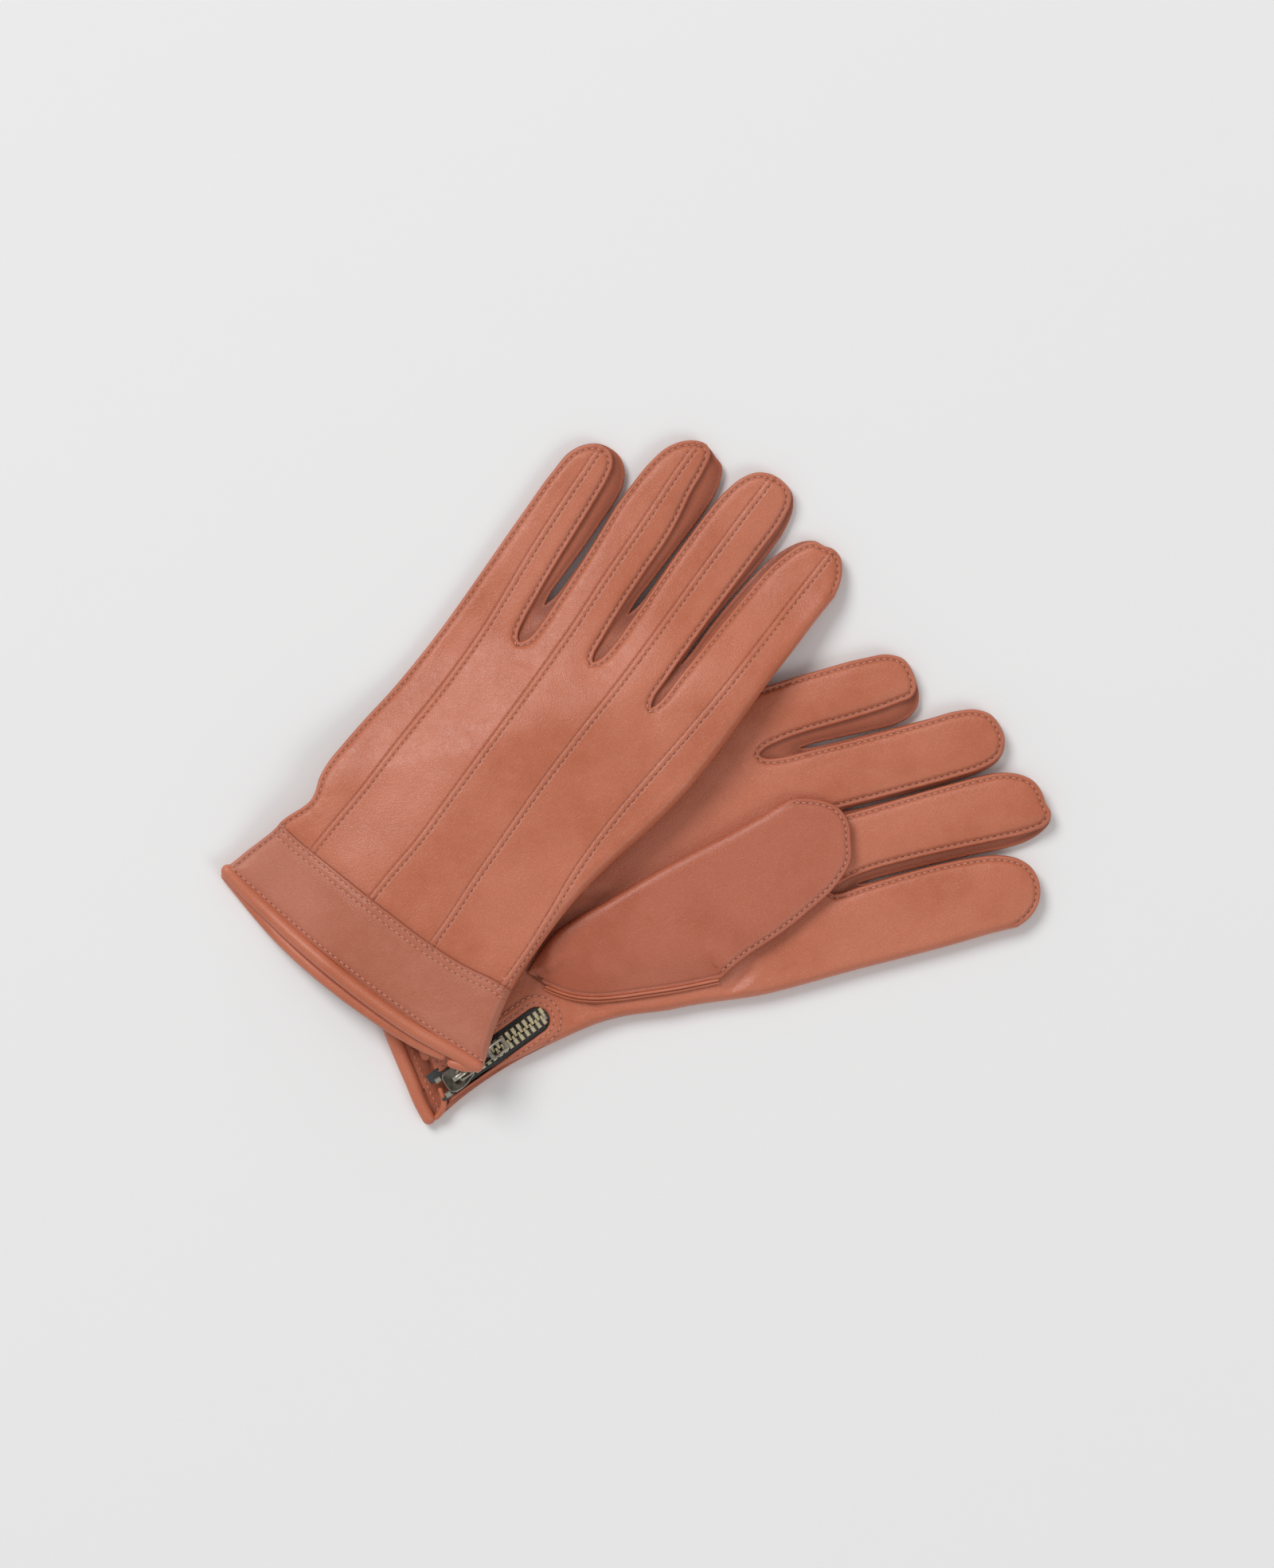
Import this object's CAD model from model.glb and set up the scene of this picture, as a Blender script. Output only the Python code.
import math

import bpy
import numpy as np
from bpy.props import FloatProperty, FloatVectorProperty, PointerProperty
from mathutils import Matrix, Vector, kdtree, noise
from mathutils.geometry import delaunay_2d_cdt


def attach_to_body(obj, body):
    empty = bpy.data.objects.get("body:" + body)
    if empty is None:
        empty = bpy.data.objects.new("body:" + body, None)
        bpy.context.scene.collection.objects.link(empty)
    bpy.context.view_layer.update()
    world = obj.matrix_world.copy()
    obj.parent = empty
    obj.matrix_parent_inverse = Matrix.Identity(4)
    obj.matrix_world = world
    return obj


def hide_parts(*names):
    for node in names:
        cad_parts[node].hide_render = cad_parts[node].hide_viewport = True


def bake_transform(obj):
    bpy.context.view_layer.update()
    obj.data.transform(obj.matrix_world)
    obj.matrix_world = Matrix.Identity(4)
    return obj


bl_info = {
    "name": "Crossed zip gloves",
    "version": (1, 0, 0),
    "blender": (4, 5, 0),
    "location": "View3D > Sidebar > Gloves",
    "description": "Builds a pair of leather gloves, laid flat and crossed, around its packed frame",
    "category": "Add Mesh",
}

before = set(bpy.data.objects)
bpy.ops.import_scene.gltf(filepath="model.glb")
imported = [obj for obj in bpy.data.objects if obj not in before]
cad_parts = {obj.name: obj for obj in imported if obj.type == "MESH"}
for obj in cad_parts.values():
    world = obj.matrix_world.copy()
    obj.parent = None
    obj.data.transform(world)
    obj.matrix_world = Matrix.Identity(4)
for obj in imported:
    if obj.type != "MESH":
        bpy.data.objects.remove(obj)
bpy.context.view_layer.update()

RIGHT, LEFT = "right", "left"
SIDES = (RIGHT, LEFT)
FINGERS = ("pinky", "ring", "middle", "index")
MM = 0.001


def srgb(red, green, blue):
    """A screen colour, 0 to 255 a channel, as linear values."""
    return tuple(((c / 255 + 0.055) / 1.055) ** 2.4 for c in (red, green, blue)) + (1.0,)


# ---------------------------------------------------------------- settings

def millimetres(name, description, default, lowest):
    """A size that a user may change."""
    return FloatProperty(name=name, description=description, default=default, min=lowest)


def dye(name, description, default):
    """A colour that a user may change."""
    return FloatVectorProperty(name=name, description=description, subtype="COLOR", size=4, default=default,
                               min=0, max=1)


class GloveSizes(bpy.types.PropertyGroup):
    """Sizes of the leather pieces, in millimetres"""
    depth: millimetres("Depth", "Thickness of a glove laid flat", 8.0, 6)
    mesh_step: millimetres("Mesh step", "Spacing of the mesh inside a panel", 2.0, 1)
    seam_step: millimetres("Seam step", "Spacing of the mesh along seams", 1.25, 0.8)
    piping: millimetres("Piping", "Radius of the rolled piping", 2.2, 1)
    thumb_depth: millimetres("Thumb depth", "Thickness of the folded thumb", 5.5, 4)
    stitch_pitch: millimetres("Stitch pitch", "Distance between stitches", 2.45, 1)
    stitch_length: millimetres("Stitch length", "Length of a stitch on show", 1.5, 0.5)
    stitch_radius: millimetres("Thread radius", "Radius of the sewing thread", 0.25, 0.1)


class GloveColours(bpy.types.PropertyGroup):
    """Colours of the leather, thread, lining and zip"""
    panel: dye("Panels", "Leather of the hand and fingers", srgb(199, 113, 82))
    band: dye("Cuff band", "Leather of the cuff band", srgb(192, 115, 90))
    thumb: dye("Thumbs", "Leather of the thumbs", srgb(188, 103, 75))
    gusset: dye("Fourchettes", "Leather between the fingers", srgb(182, 96, 64))
    thread: dye("Thread", "Sewing thread", srgb(219, 148, 121))
    hole: dye("Needle holes", "Inside of a needle hole", srgb(112, 52, 34))
    lining: dye("Lining", "Knitted lining", srgb(120, 78, 62))
    tape: dye("Zip tape", "Woven zip tape", srgb(44, 45, 46))
    brass: dye("Teeth", "Zip teeth", srgb(240, 228, 190))
    nickel: dye("Slider", "Slider, pull and stops", srgb(186, 182, 168))


class StageSettings(bpy.types.PropertyGroup):
    """Camera, lights and floor"""
    view_width: FloatProperty(name="View width", description="Width of the view at the floor", unit="LENGTH",
                              default=0.464, min=0.1)
    camera_height: FloatProperty(name="Camera height", description="Height of the camera", unit="LENGTH",
                                 default=2.2, min=0.5)
    sky: FloatProperty(name="Sky", description="Strength of the even light from all round", default=0.415,
                       min=0)
    key: FloatProperty(name="Key light", description="Power of the main soft light", unit="POWER",
                       default=148, min=0)
    floor: dye("Floor", "Colour of the floor", srgb(243, 243, 243))


def sizes():
    """The sizes set in the panel."""
    return bpy.context.scene.glove_sizes


def colours():
    """The colours set in the panel."""
    return bpy.context.scene.glove_colours


# ---------------------------------------------------------------- pattern

# Lay of each glove: plan position of the middle of its cuff, and the direction of its fingers
ORIGIN = {RIGHT: (-81.1, -52.0), LEFT: (-102.6, -68.2)}
TURN = {RIGHT: math.radians(13.7), LEFT: math.radians(52.4)}
UNDER_H = 8.4      # height of the left glove's underside where it lies on the right one
CROSS_H = 14.6     # the same, over the right glove's zip and the left thumb
FALL = 40.0        # distance over which it comes down to the surface
THUMB_H = 8.4      # underside of the thumb, from the glove's far side

# Zip: its cuff end in the pattern, its lean towards the little finger, and its length
ZIP_START = {RIGHT: (59.6, -1.5), LEFT: (48.5, 0.5)}
ZIP_LEAN = {RIGHT: math.radians(22), LEFT: math.radians(10)}
ZIP_LENGTH = 45.0
SLOT_R = 4.8
SLIDER_LENGTH = 11.0

# Outlines of the upper panel, clockwise from the little-finger end of the cuff, as (u, v) in
# millimetres. Four runs of seam end at the feet of the gaps between the fingers, then come the fold and
# the cuff edge.
UPPER = {
    RIGHT: [
        [(-48, -3), (-49.5, 14), (-50.3, 30), (-51.5, 50), (-50.8, 83), (-51.5, 116), (-53.2, 140),
         (-54.6, 165), (-55, 182), (-54, 192), (-51, 196.6), (-46, 198.4), (-41, 198.6), (-37.5, 196.6),
         (-36, 190), (-34.8, 178), (-34.2, 165), (-33.6, 152), (-32.6, 144), (-31.4, 139.2), (-30, 137.2)],
        [(-30, 137.2), (-28.5, 138.6), (-27.4, 143), (-27.2, 156), (-27.3, 178), (-27.9, 200), (-28.3, 211),
         (-27.3, 217.5), (-24, 222.3), (-20, 224.3), (-15.5, 225.2), (-11, 224), (-7.8, 221), (-5.8, 215),
         (-5, 205), (-4.6, 190), (-4.2, 172), (-3.8, 158), (-3.2, 152.5), (-2.4, 150.8)],
        [(-2.4, 150.8), (-1.6, 152.5), (-1.5, 160), (-2, 175), (-2.7, 190), (-3.2, 205), (-3.3, 214),
         (-2.8, 221), (-0.5, 227.5), (3, 231.8), (8, 233.8), (12, 234.2), (15.5, 235.2), (18, 234.3),
         (19.9, 231.5), (20.8, 226), (20.8, 212), (20.3, 195), (20.2, 178), (20.8, 164), (22.2, 156),
         (23.8, 151.8), (25, 150.4)],
        [(25, 150.4), (25.6, 152.5), (25.4, 160), (24.6, 175), (24.2, 190), (24.8, 204), (26, 212.5),
         (29, 219.5), (33, 223.4), (38.5, 225), (44, 224.3), (48.5, 221.5), (51.8, 217), (53.2, 213.5)],
        [(53.2, 213.5), (53.2, 204), (53.8, 190), (54.2, 170), (54.4, 152), (55.1, 130), (55.2, 118),
         (54, 104), (52.8, 92), (52.4, 82), (51.2, 72), (50.6, 64), (51.4, 54), (53.6, 42), (56, 29),
         (58.3, 19), (62, 8), (66, -2)],
        [(66, -2), (58, -3.8), (40, -5.6), (12, -6.6), (-20, -5.6), (-48, -3)]],
    LEFT: [
        [(-59, 1), (-58, 4.5), (-56.6, 10.5), (-54.8, 17), (-53.3, 23), (-52.9, 27.5), (-51.8, 31),
         (-50.2, 35), (-49.2, 39.5), (-49.8, 43), (-51.6, 47.5), (-52.6, 54), (-52.4, 63), (-51.8, 74),
         (-50.6, 88), (-50, 104), (-50, 120), (-50.6, 136), (-51.4, 152), (-52.2, 170), (-52.7, 188),
         (-52, 196.5), (-49.8, 201.6), (-46.5, 204.8), (-43, 206), (-39.5, 205.4), (-37, 203), (-35.3, 198),
         (-34, 189), (-33, 180), (-31.8, 168), (-30.6, 157), (-29.2, 147), (-27.6, 137), (-26.2, 132.6),
         (-24.6, 131)],
        [(-24.6, 131), (-23, 133.2), (-22.2, 140), (-22.8, 150), (-24, 165), (-25.2, 178), (-26.6, 190),
         (-27, 202), (-26.7, 212), (-25.2, 219.5), (-22, 225), (-18, 228.3), (-14, 229.3), (-11.2, 227.5),
         (-9.4, 222), (-8, 212), (-6, 203), (-4.6, 194), (-3.9, 183), (-3, 170), (-2, 159), (-0.8, 149),
         (0.3, 143), (1.3, 141.4)],
        [(1.3, 141.4), (2.4, 143.3), (3.3, 150), (3.1, 160), (2.5, 172), (1.6, 185), (1, 200), (0.9, 212),
         (1.6, 221), (3.4, 228), (6.4, 232.6), (10.5, 235), (15.5, 235.7), (20, 234.6), (22.8, 231),
         (24.3, 225), (24.9, 212), (25.1, 198), (25.3, 182), (25.8, 165), (26.4, 152), (27.2, 143.2),
         (28.2, 141)],
        [(28.2, 141), (29, 143.8), (29.3, 155), (29.6, 170), (29.9, 185), (30.3, 198), (31, 208), (33, 216.5),
         (35.5, 222.5), (38.5, 225.6), (42, 226.2), (45, 227.3), (49, 226.6), (52.5, 223.3), (55, 218.5),
         (56.3, 213.5)],
        [(56.3, 213.5), (56.1, 204), (56.2, 190), (56.1, 175), (56.6, 158), (57, 140), (56.6, 125),
         (55.2, 112), (52.8, 98), (50.6, 85), (49, 72), (48.6, 60), (49, 46), (50, 32), (52, 22.5),
         (54.8, 13), (57.4, 6.5), (59, 2)],
        [(59, 2), (48, 1), (30, -0.4), (0, -1.3), (-30, -0.9), (-48, 0.3), (-59, 1)]],
}

# The lower panel, where it differs: each finger's far layer shows beside the near one
LOWER = {
    RIGHT: {
        0: [(-48, -9), (-49.5, 10), (-50.3, 30), (-51.5, 50), (-50.8, 83), (-51.5, 116), (-53.2, 140),
            (-54.6, 165), (-55, 182), (-54, 192), (-51.4, 196.4), (-47, 198.4), (-42, 199), (-37.5, 198.8),
            (-33.6, 197.4), (-30.6, 194), (-29, 188.5), (-28.8, 178), (-29.1, 166), (-29.2, 157),
            (-28.7, 152)],
        1: [(-28.7, 152), (-28.1, 156), (-27.8, 166), (-27.8, 180), (-28, 200), (-28.3, 211.5),
            (-27.2, 217.8), (-24, 222.6), (-20, 224.6), (-15.5, 225.4), (-10.8, 224.2), (-7.2, 221),
            (-4.9, 215), (-3.9, 205), (-3.4, 190), (-3.3, 175), (-3.3, 165), (-3, 161)],
        2: [(-3, 161), (-2.6, 165), (-2.5, 176), (-2.9, 190), (-3.3, 205), (-3.4, 214), (-2.8, 221),
            (-0.5, 227.5), (3, 231.8), (8, 233.8), (12, 234.2), (15.5, 235.2), (18.7, 234.2), (21.4, 230.8),
            (23.5, 225), (24.3, 216), (23.9, 205), (23.7, 190), (23.7, 175), (23.9, 165), (24.3, 161)],
        3: [(24.3, 161), (24.7, 165), (24.4, 176), (24.3, 190), (24.9, 204), (26, 212.5), (29, 219.5),
            (33, 223.4), (38.5, 225), (44, 224.3), (48.5, 221.5), (51.8, 217), (53.2, 213.5)],
        4: [(53.2, 213.5), (53.2, 204), (53.8, 190), (54.2, 170), (54.4, 152), (55.1, 130), (55.2, 118),
            (54, 104), (52.8, 92), (52.4, 82), (51.2, 72), (50.6, 64), (51.4, 54), (53.6, 42), (56.4, 29),
            (59.6, 18), (65, 4), (71, -8)],
        5: [(71, -8), (66, -9.6), (60, -10.8), (52, -12.2), (42, -13.8), (25, -15.4), (0, -16), (-25, -14.2),
            (-48, -9)]},
    LEFT: {
        0: [(-59, -2), (-57.6, 4.5), (-56.2, 10.5), (-54.6, 17), (-53.3, 23), (-52.9, 27.5), (-51.8, 31),
            (-50.2, 35), (-49.2, 39.5), (-49.8, 43), (-51.6, 47.5), (-52.6, 54), (-52.4, 63), (-51.8, 74),
            (-50.6, 88), (-50, 104), (-50, 120), (-50.6, 136), (-51.4, 152), (-52.2, 170), (-52.8, 188),
            (-52.2, 197), (-49.6, 202.3), (-45.5, 205.8), (-41, 207), (-36.5, 206.6), (-32.5, 204),
            (-29.6, 199.5), (-28.2, 193), (-27.5, 183), (-26.9, 172), (-26.6, 160), (-26.2, 151),
            (-25.3, 147)],
        1: [(-25.3, 147), (-24.4, 151), (-24.2, 164), (-25.3, 178), (-26.7, 190), (-27, 202), (-26.6, 213),
            (-24.8, 220.5), (-21.5, 225.6), (-17, 228.6), (-13, 229), (-9, 227.8), (-5.5, 226.8),
            (-2.6, 222.5), (-0.9, 216.5), (-0.1, 208), (0.1, 195), (0.2, 180), (0.3, 168), (0.9, 163)],
        2: [(0.9, 163), (1.8, 168), (1.7, 178), (1.1, 190), (0.9, 202), (0.9, 212), (1.6, 221), (3.4, 228),
            (6.4, 232.6), (10.5, 235), (15.5, 235.7), (20.6, 234.6), (24.4, 230.6), (26.8, 223.5),
            (27.6, 212), (27.2, 200), (26.5, 188), (26.3, 176), (26.6, 165), (27, 160)],
        3: [(27, 160), (27.4, 165), (27.1, 178), (27.4, 190), (28.2, 202), (29.4, 210), (32, 218), (35, 223),
            (38.5, 225.8), (42, 226.3), (45, 227.3), (49, 226.6), (52.5, 223.3), (55, 218.5), (56.3, 213.5)],
        4: [(56.3, 213.5), (56.1, 204), (56.2, 190), (56.1, 175), (56.6, 158), (57, 140), (56.6, 125),
            (55.2, 112), (52.8, 98), (50.6, 85), (49, 72), (48.6, 60), (49, 46), (50, 32), (52, 22.5),
            (54.8, 13), (57.2, 6), (58, 1)],
        5: [(58, 1), (48, -2.6), (30, -5), (0, -6.4), (-30, -5.2), (-48, -3), (-59, -2)]},
}
# Where the mesh of each finger parts from the hand's
CUT_V = {RIGHT: (153, 154.5, 155.5, 154), LEFT: (148, 150, 152, 151)}

# Pin tucks down the back, from the fingertips to the band
TUCKS = [
    [(-44.2, 205), (-43.4, 192), (-42.6, 180), (-41.2, 163), (-39.4, 147), (-37.4, 130), (-36.2, 105),
     (-36.4, 75), (-36.3, 52), (-36.9, 38), (-37.4, 24)],
    [(-17, 228.5), (-16.7, 215), (-15.6, 200), (-14.6, 185), (-13.6, 168), (-12.1, 150), (-11.2, 130),
     (-10.2, 100), (-9.5, 72), (-9, 50), (-9.6, 38), (-10, 24)],
    [(11.9, 234.5), (12, 215), (12.3, 200), (12.8, 182), (13.4, 162), (13.8, 140), (13.6, 118), (13.8, 95),
     (14.8, 72), (16, 50), (17, 38), (17.6, 24)],
    [(45.6, 226.5), (45.3, 200), (45.3, 180), (45, 158), (44, 138), (42.8, 118), (42, 98), (42.6, 78),
     (45, 58), (46.4, 44), (46.9, 27)]]
# Upper edge of the band round the back of the cuff
BAND_EDGE = [(-62, 26), (-53, 26), (-46, 25.3), (-30, 25), (0, 24.8), (20, 25.2), (34, 26.8), (43, 28.8),
             (50, 29.4), (60, 29.6)]

# Thumb outline, clockwise from the root: the fold, the seam over the tip, and the seam round the root
THUMB = [
    [(27, 36.5), (20, 43.5), (15.2, 50), (12.2, 57.5), (9.2, 68), (6, 79), (2.6, 90), (-0.2, 100.5),
     (-2.6, 110), (-4.6, 118.5), (-7, 127.5), (-9.2, 135), (-11.2, 141.5), (-11.8, 145.2)],
    [(-11.8, 145.2), (-10.9, 149), (-9.6, 152.8), (-7.5, 157), (-4.6, 160.3), (-1, 162.2), (3, 162.9),
     (7, 162.2), (11, 161.5), (15, 160.4), (18.5, 157.7), (22, 153.8), (25, 149.6), (28, 144), (31, 138),
     (34, 131.6), (36.6, 125), (39.2, 117.5), (42.4, 110), (45.6, 104.4)],
    [(45.6, 104.4), (45.4, 97), (45, 88), (44, 77), (43, 67), (41.6, 58.5), (39, 51), (35.4, 45), (31, 39.8),
     (27, 36.5)]]


def ease(t):
    """A smooth step from 0 to 1."""
    c = np.clip(t, 0.0, 1.0)
    return c * c * (3 - 2 * c)


def spot(side, u, v):
    """Plan position of pattern points, in millimetres."""
    c, s = math.cos(TURN[side]), math.sin(TURN[side])
    return ORIGIN[side][0] + v * c + u * s, ORIGIN[side][1] + v * s - u * c


def ground(side, u, v):
    """Height of a glove's underside over the surface, in millimetres."""
    if side == RIGHT:
        return np.zeros_like(u)
    x, y = spot(side, u, v)
    dx, dy = x - ORIGIN[RIGHT][0], y - ORIGIN[RIGHT][1]
    a, b = TURN[RIGHT], TURN[RIGHT] + math.radians(14)
    past_side = dy * math.cos(a) - dx * math.sin(a) - 54
    past_cuff = -dx * math.cos(b) - dy * math.sin(b) - 8
    over = UNDER_H * (1 - ease(past_side / FALL)) * (1 - ease(past_cuff / FALL))
    return over + (CROSS_H - UNDER_H) * ease((u + 45) / FALL) * (1 - ease((v - 155) / 50))


def place(side, points):
    """World positions in metres of (u, v, height over the underside) points in millimetres."""
    p = np.asarray(points, float).reshape(-1, 3)
    x, y = spot(side, p[:, 0], p[:, 1])
    return np.column_stack([x, y, p[:, 2] + ground(side, p[:, 0], p[:, 1])]) * MM


def through(points, spacing=None, count=None):
    """Points at even steps on a smooth curve through the given points."""
    p = np.asarray(points, float)
    h = np.maximum(np.linalg.norm(np.diff(p, axis=0), axis=1), 1e-6)
    slope = np.diff(p, axis=0) / h[:, None]
    m = np.empty_like(p)
    m[0], m[-1] = slope[0], slope[-1]
    m[1:-1] = (slope[:-1] * h[1:, None] + slope[1:] * h[:-1, None]) / (h[:-1] + h[1:])[:, None]
    t = np.linspace(0, 1, 10, endpoint=False)[None, :, None]
    a, b, ma, mb, hh = p[:-1, None], p[1:, None], m[:-1, None], m[1:, None], h[:, None, None]
    curve = ((2 * t**3 - 3 * t**2 + 1) * a + (t**3 - 2 * t**2 + t) * hh * ma
             + (3 * t**2 - 2 * t**3) * b + (t**3 - t**2) * hh * mb)
    curve = np.vstack([curve.reshape(-1, p.shape[1]), p[-1:]])
    return even(curve, spacing, count)


def even(curve, spacing=None, count=None):
    """Points at even steps along a fine curve."""
    along = np.concatenate([[0], np.cumsum(np.linalg.norm(np.diff(curve, axis=0), axis=1))])
    if count is None:
        count = max(2, int(math.ceil(along[-1] / spacing)))
    want = np.linspace(0, along[-1], count + 1)
    return np.column_stack([np.interp(want, along, curve[:, i]) for i in range(curve.shape[1])])


def normals_of(path, closed=False):
    """Unit normals on the left of a path."""
    if closed:
        d = np.roll(path, -1, 0) - np.roll(path, 1, 0)
    else:
        d = np.gradient(path, axis=0)
    d /= np.maximum(np.linalg.norm(d, axis=1), 1e-9)[:, None]
    return np.column_stack([-d[:, 1], d[:, 0]])


def inside(points, polygon):
    """Which points lie inside a closed polygon."""
    x, y = points[:, 0], points[:, 1]
    result = np.zeros(len(points), bool)
    a = polygon
    b = np.roll(polygon, -1, 0)
    for (ax, ay), (bx, by) in zip(a, b):
        crosses = (ay > y) != (by > y)
        if crosses.any():
            at_x = ax + (y - ay) * (bx - ax) / ((by - ay) or 1e-12)
            result ^= crosses & (x < at_x)
    return result


# ---------------------------------------------------------------- panels

PATTERN_DEPTH = 8.0
# Height of the upper half of a glove of that depth, by the distance from the edge of the panel
SEAM_PROFILE = ((0, 5.1), (0.3, 5.8), (0.7, 6.15), (1.25, 6.1), (1.75, 5.75), (2.4, 6.85), (3.4, 7.3),
                (4.8, 7.65), (9, 8))
CUFF_PROFILE = ((0, 6.3), (0.7, 6.6), (1.25, 6.65), (1.75, 6.9), (3.4, 7.4), (6, 7.8), (10, 8))
ROOT_PROFILE = ((0, 1.2), (0.3, 2.2), (0.7, 2.5), (1.25, 2.5), (1.75, 2.2), (2.4, 2.7), (3.4, 3.3),
                (4.8, 4.2), (9, 6.3), (14, 7.6), (18, 8))
RINGS = (0.3, 0.7, 1.25, 1.75, 2.4, 3.4, 4.8)
SEAM, FOLD, CUFF, ROOT = range(4)


def fold_profile(d):
    """Height of the upper half at a distance from a folded edge: a quarter circle."""
    half = PATTERN_DEPTH / 2
    t = np.clip(1 - d / half, 0, 1)
    return half + half * np.sqrt(np.maximum(1 - t * t, 0))


def profile(kind, d):
    """Height of the upper half at a distance from an edge of one kind."""
    if kind == FOLD:
        return fold_profile(d)
    table = {SEAM: SEAM_PROFILE, CUFF: CUFF_PROFILE, ROOT: ROOT_PROFILE}[kind]
    return np.interp(d, [row[0] for row in table], [row[1] for row in table])


class Outline:
    """A closed panel outline made of smooth runs, each of one kind of edge."""

    def __init__(self, runs, kinds, labels, step, counts=None):
        parts = [through(run, spacing=step, count=counts[i] if counts else None)[:-1]
                 for i, run in enumerate(runs)]
        self.counts = [len(part) for part in parts]
        self.points = np.vstack(parts)
        self.normals = normals_of(self.points, closed=True)
        self.kind = np.concatenate([[kinds[i]] * n for i, n in enumerate(self.counts)])
        self.label = np.concatenate([[labels[i]] * n for i, n in enumerate(self.counts)])
        weights = np.eye(4)[self.kind]
        spread = 3
        self.weights = sum(np.roll(weights, s, 0) for s in range(-spread, spread + 1)) / (2 * spread + 1)
        onward = np.roll(self.points, -1, 0) - self.points
        fine = np.vstack([self.points + onward * t for t in (0, 0.25, 0.5, 0.75)])
        self.tree = kdtree.KDTree(len(fine))
        for i, (u, v) in enumerate(fine):
            self.tree.insert((u, v, 0), i)
        self.tree.balance()

    def nearest(self, points):
        found = [self.tree.find((u, v, 0)) for u, v in points]
        index = np.array([f[1] for f in found]) % len(self.points)
        return index, np.array([f[2] for f in found])

    def height(self, points):
        """Height of the upper half, the nearest outline point and the distance to it."""
        index, d = self.nearest(points)
        h = sum(self.weights[index, k] * profile(k, d) for k in range(4))
        return h, index, d


def zip_coordinates(side, points):
    """Distances of pattern points along the zip from its cuff end, and to its side."""
    a = ZIP_LEAN[side]
    du, dv = points[:, 0] - ZIP_START[side][0], points[:, 1] - ZIP_START[side][1]
    return dv * math.cos(a) - du * math.sin(a), dv * math.sin(a) + du * math.cos(a)


def slot_distance(side, points):
    """Distance outside the edge of the zip's slot, in millimetres."""
    x, y = zip_coordinates(side, points)
    return np.hypot(np.maximum(x - (ZIP_LENGTH - SLOT_R), 0), y) - SLOT_R


def slot_points(side, grow, step):
    """Pattern points along the slot's edge, grown outwards, from the cuff round its closed end."""
    r = SLOT_R + grow
    end = ZIP_LENGTH - SLOT_R
    bend = [(end + r * math.cos(a), -r * math.sin(a)) for a in np.linspace(math.pi / 2, -math.pi / 2, 13)]
    line = even(np.array([(-16, -r)] + bend + [(-16, r)]), spacing=step)
    a = ZIP_LEAN[side]
    u = ZIP_START[side][0] - line[:, 0] * math.sin(a) + line[:, 1] * math.cos(a)
    v = ZIP_START[side][1] + line[:, 0] * math.cos(a) + line[:, 1] * math.sin(a)
    return np.column_stack([u, v])


# Relief of the slot's turned edge, of a pin tuck and of the band's step, by the distance across them
SLOT_LIP = ((0, -0.5), (0.4, 0.1), (0.9, 0.3), (1.6, 0.0), (2.4, 0.35), (3.2, 0.3), (4.1, 0.0), (5.5, 0))
TUCK_LIFT = ((-2.6, 0), (-1.5, -0.05), (-1.15, -0.38), (-0.75, 0.25), (0, 0.42), (0.75, 0.25), (1.15, -0.38),
             (1.5, -0.05), (2.6, 0))
BAND_STEP = ((-1.2, 0), (-0.12, -0.12), (0.12, 0.5), (0.5, 0.85), (1.0, 0.8), (1.5, 0.5), (2.2, 0.8),
             (3.3, 0.8), (4.0, 0.52), (4.8, 0.8), (6, 0.8))


def table_at(table, x):
    """Values read between the rows of a table."""
    return np.interp(x, [row[0] for row in table], [row[1] for row in table])


def across(points, path):
    """Signed distance of points from a path, positive on its right, and how far along each lies."""
    tree = kdtree.KDTree(len(path))
    for i, (u, v) in enumerate(path):
        tree.insert((u, v, 0), i)
    tree.balance()
    index = np.array([tree.find((u, v, 0))[1] for u, v in points])
    n = -normals_of(path)
    delta = points - path[index]
    signed = (delta * n[index]).sum(1)
    reach = np.linalg.norm(delta, axis=1)
    return signed, reach, index


def undulation(points, seed, lift=1.0):
    """Soft, low relief of leather that has been worn and laid flat."""
    result = np.empty(len(points))
    for i, (u, v) in enumerate(points):
        broad = noise.noise(Vector((u / 26, v / 34, seed)))
        middle = noise.noise(Vector((u / 8.5, v / 12, seed + 7)))
        small = noise.noise(Vector((u / 3.6, v / 4.4, seed + 19)))
        result[i] = 0.55 * broad + 0.22 * middle + 0.06 * small
    return lift * (result - 0.35)


# Creases as (u, v, direction in degrees, half length, half width, depth) on the upper panel
CREASES = {
    RIGHT: [(-24, 128, 20, 16, 3.5, 0.5), (-8, 68, -58, 20, 4, 1.0), (44, 58, 35, 9, 1.6, 0.7),
            (47, 49, 10, 8, 1.3, 0.5), (43, 47, 30, 7, 1.0, 0.45), (47, 112, -60, 9, 2.2, 1.4),
            (49, 106, 80, 6, 1.5, 0.8), (5, 66, 65, 10, 2.2, 0.9), (-12, 132, 8, 10, 3, 0.4),
            (0, 226, 10, 7, 1.5, 0.25), (10, 222, -8, 8, 1.3, 0.2), (11, 170, 12, 8, 1.4, 0.2)],
    LEFT: [(-18, 127, 25, 9, 2, 0.45), (5, 138, 15, 9, 1.2, 0.4), (6, 143, 28, 6, 0.9, 0.3),
           (30, 137, 5, 7, 1.1, 0.3), (-48, 39, 20, 5, 0.9, 0.5), (-46, 36, -20, 6, 0.9, 0.45),
           (-47, 43, 35, 5, 0.8, 0.4), (-20, 44, -10, 12, 1.8, 0.25), (28, 40, 12, 12, 1.8, 0.25),
           (30, 96, -20, 14, 3, 0.3), (-20, 90, 15, 16, 3, 0.3), (5, 52, 5, 10, 1.5, 0.2)],
}


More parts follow.
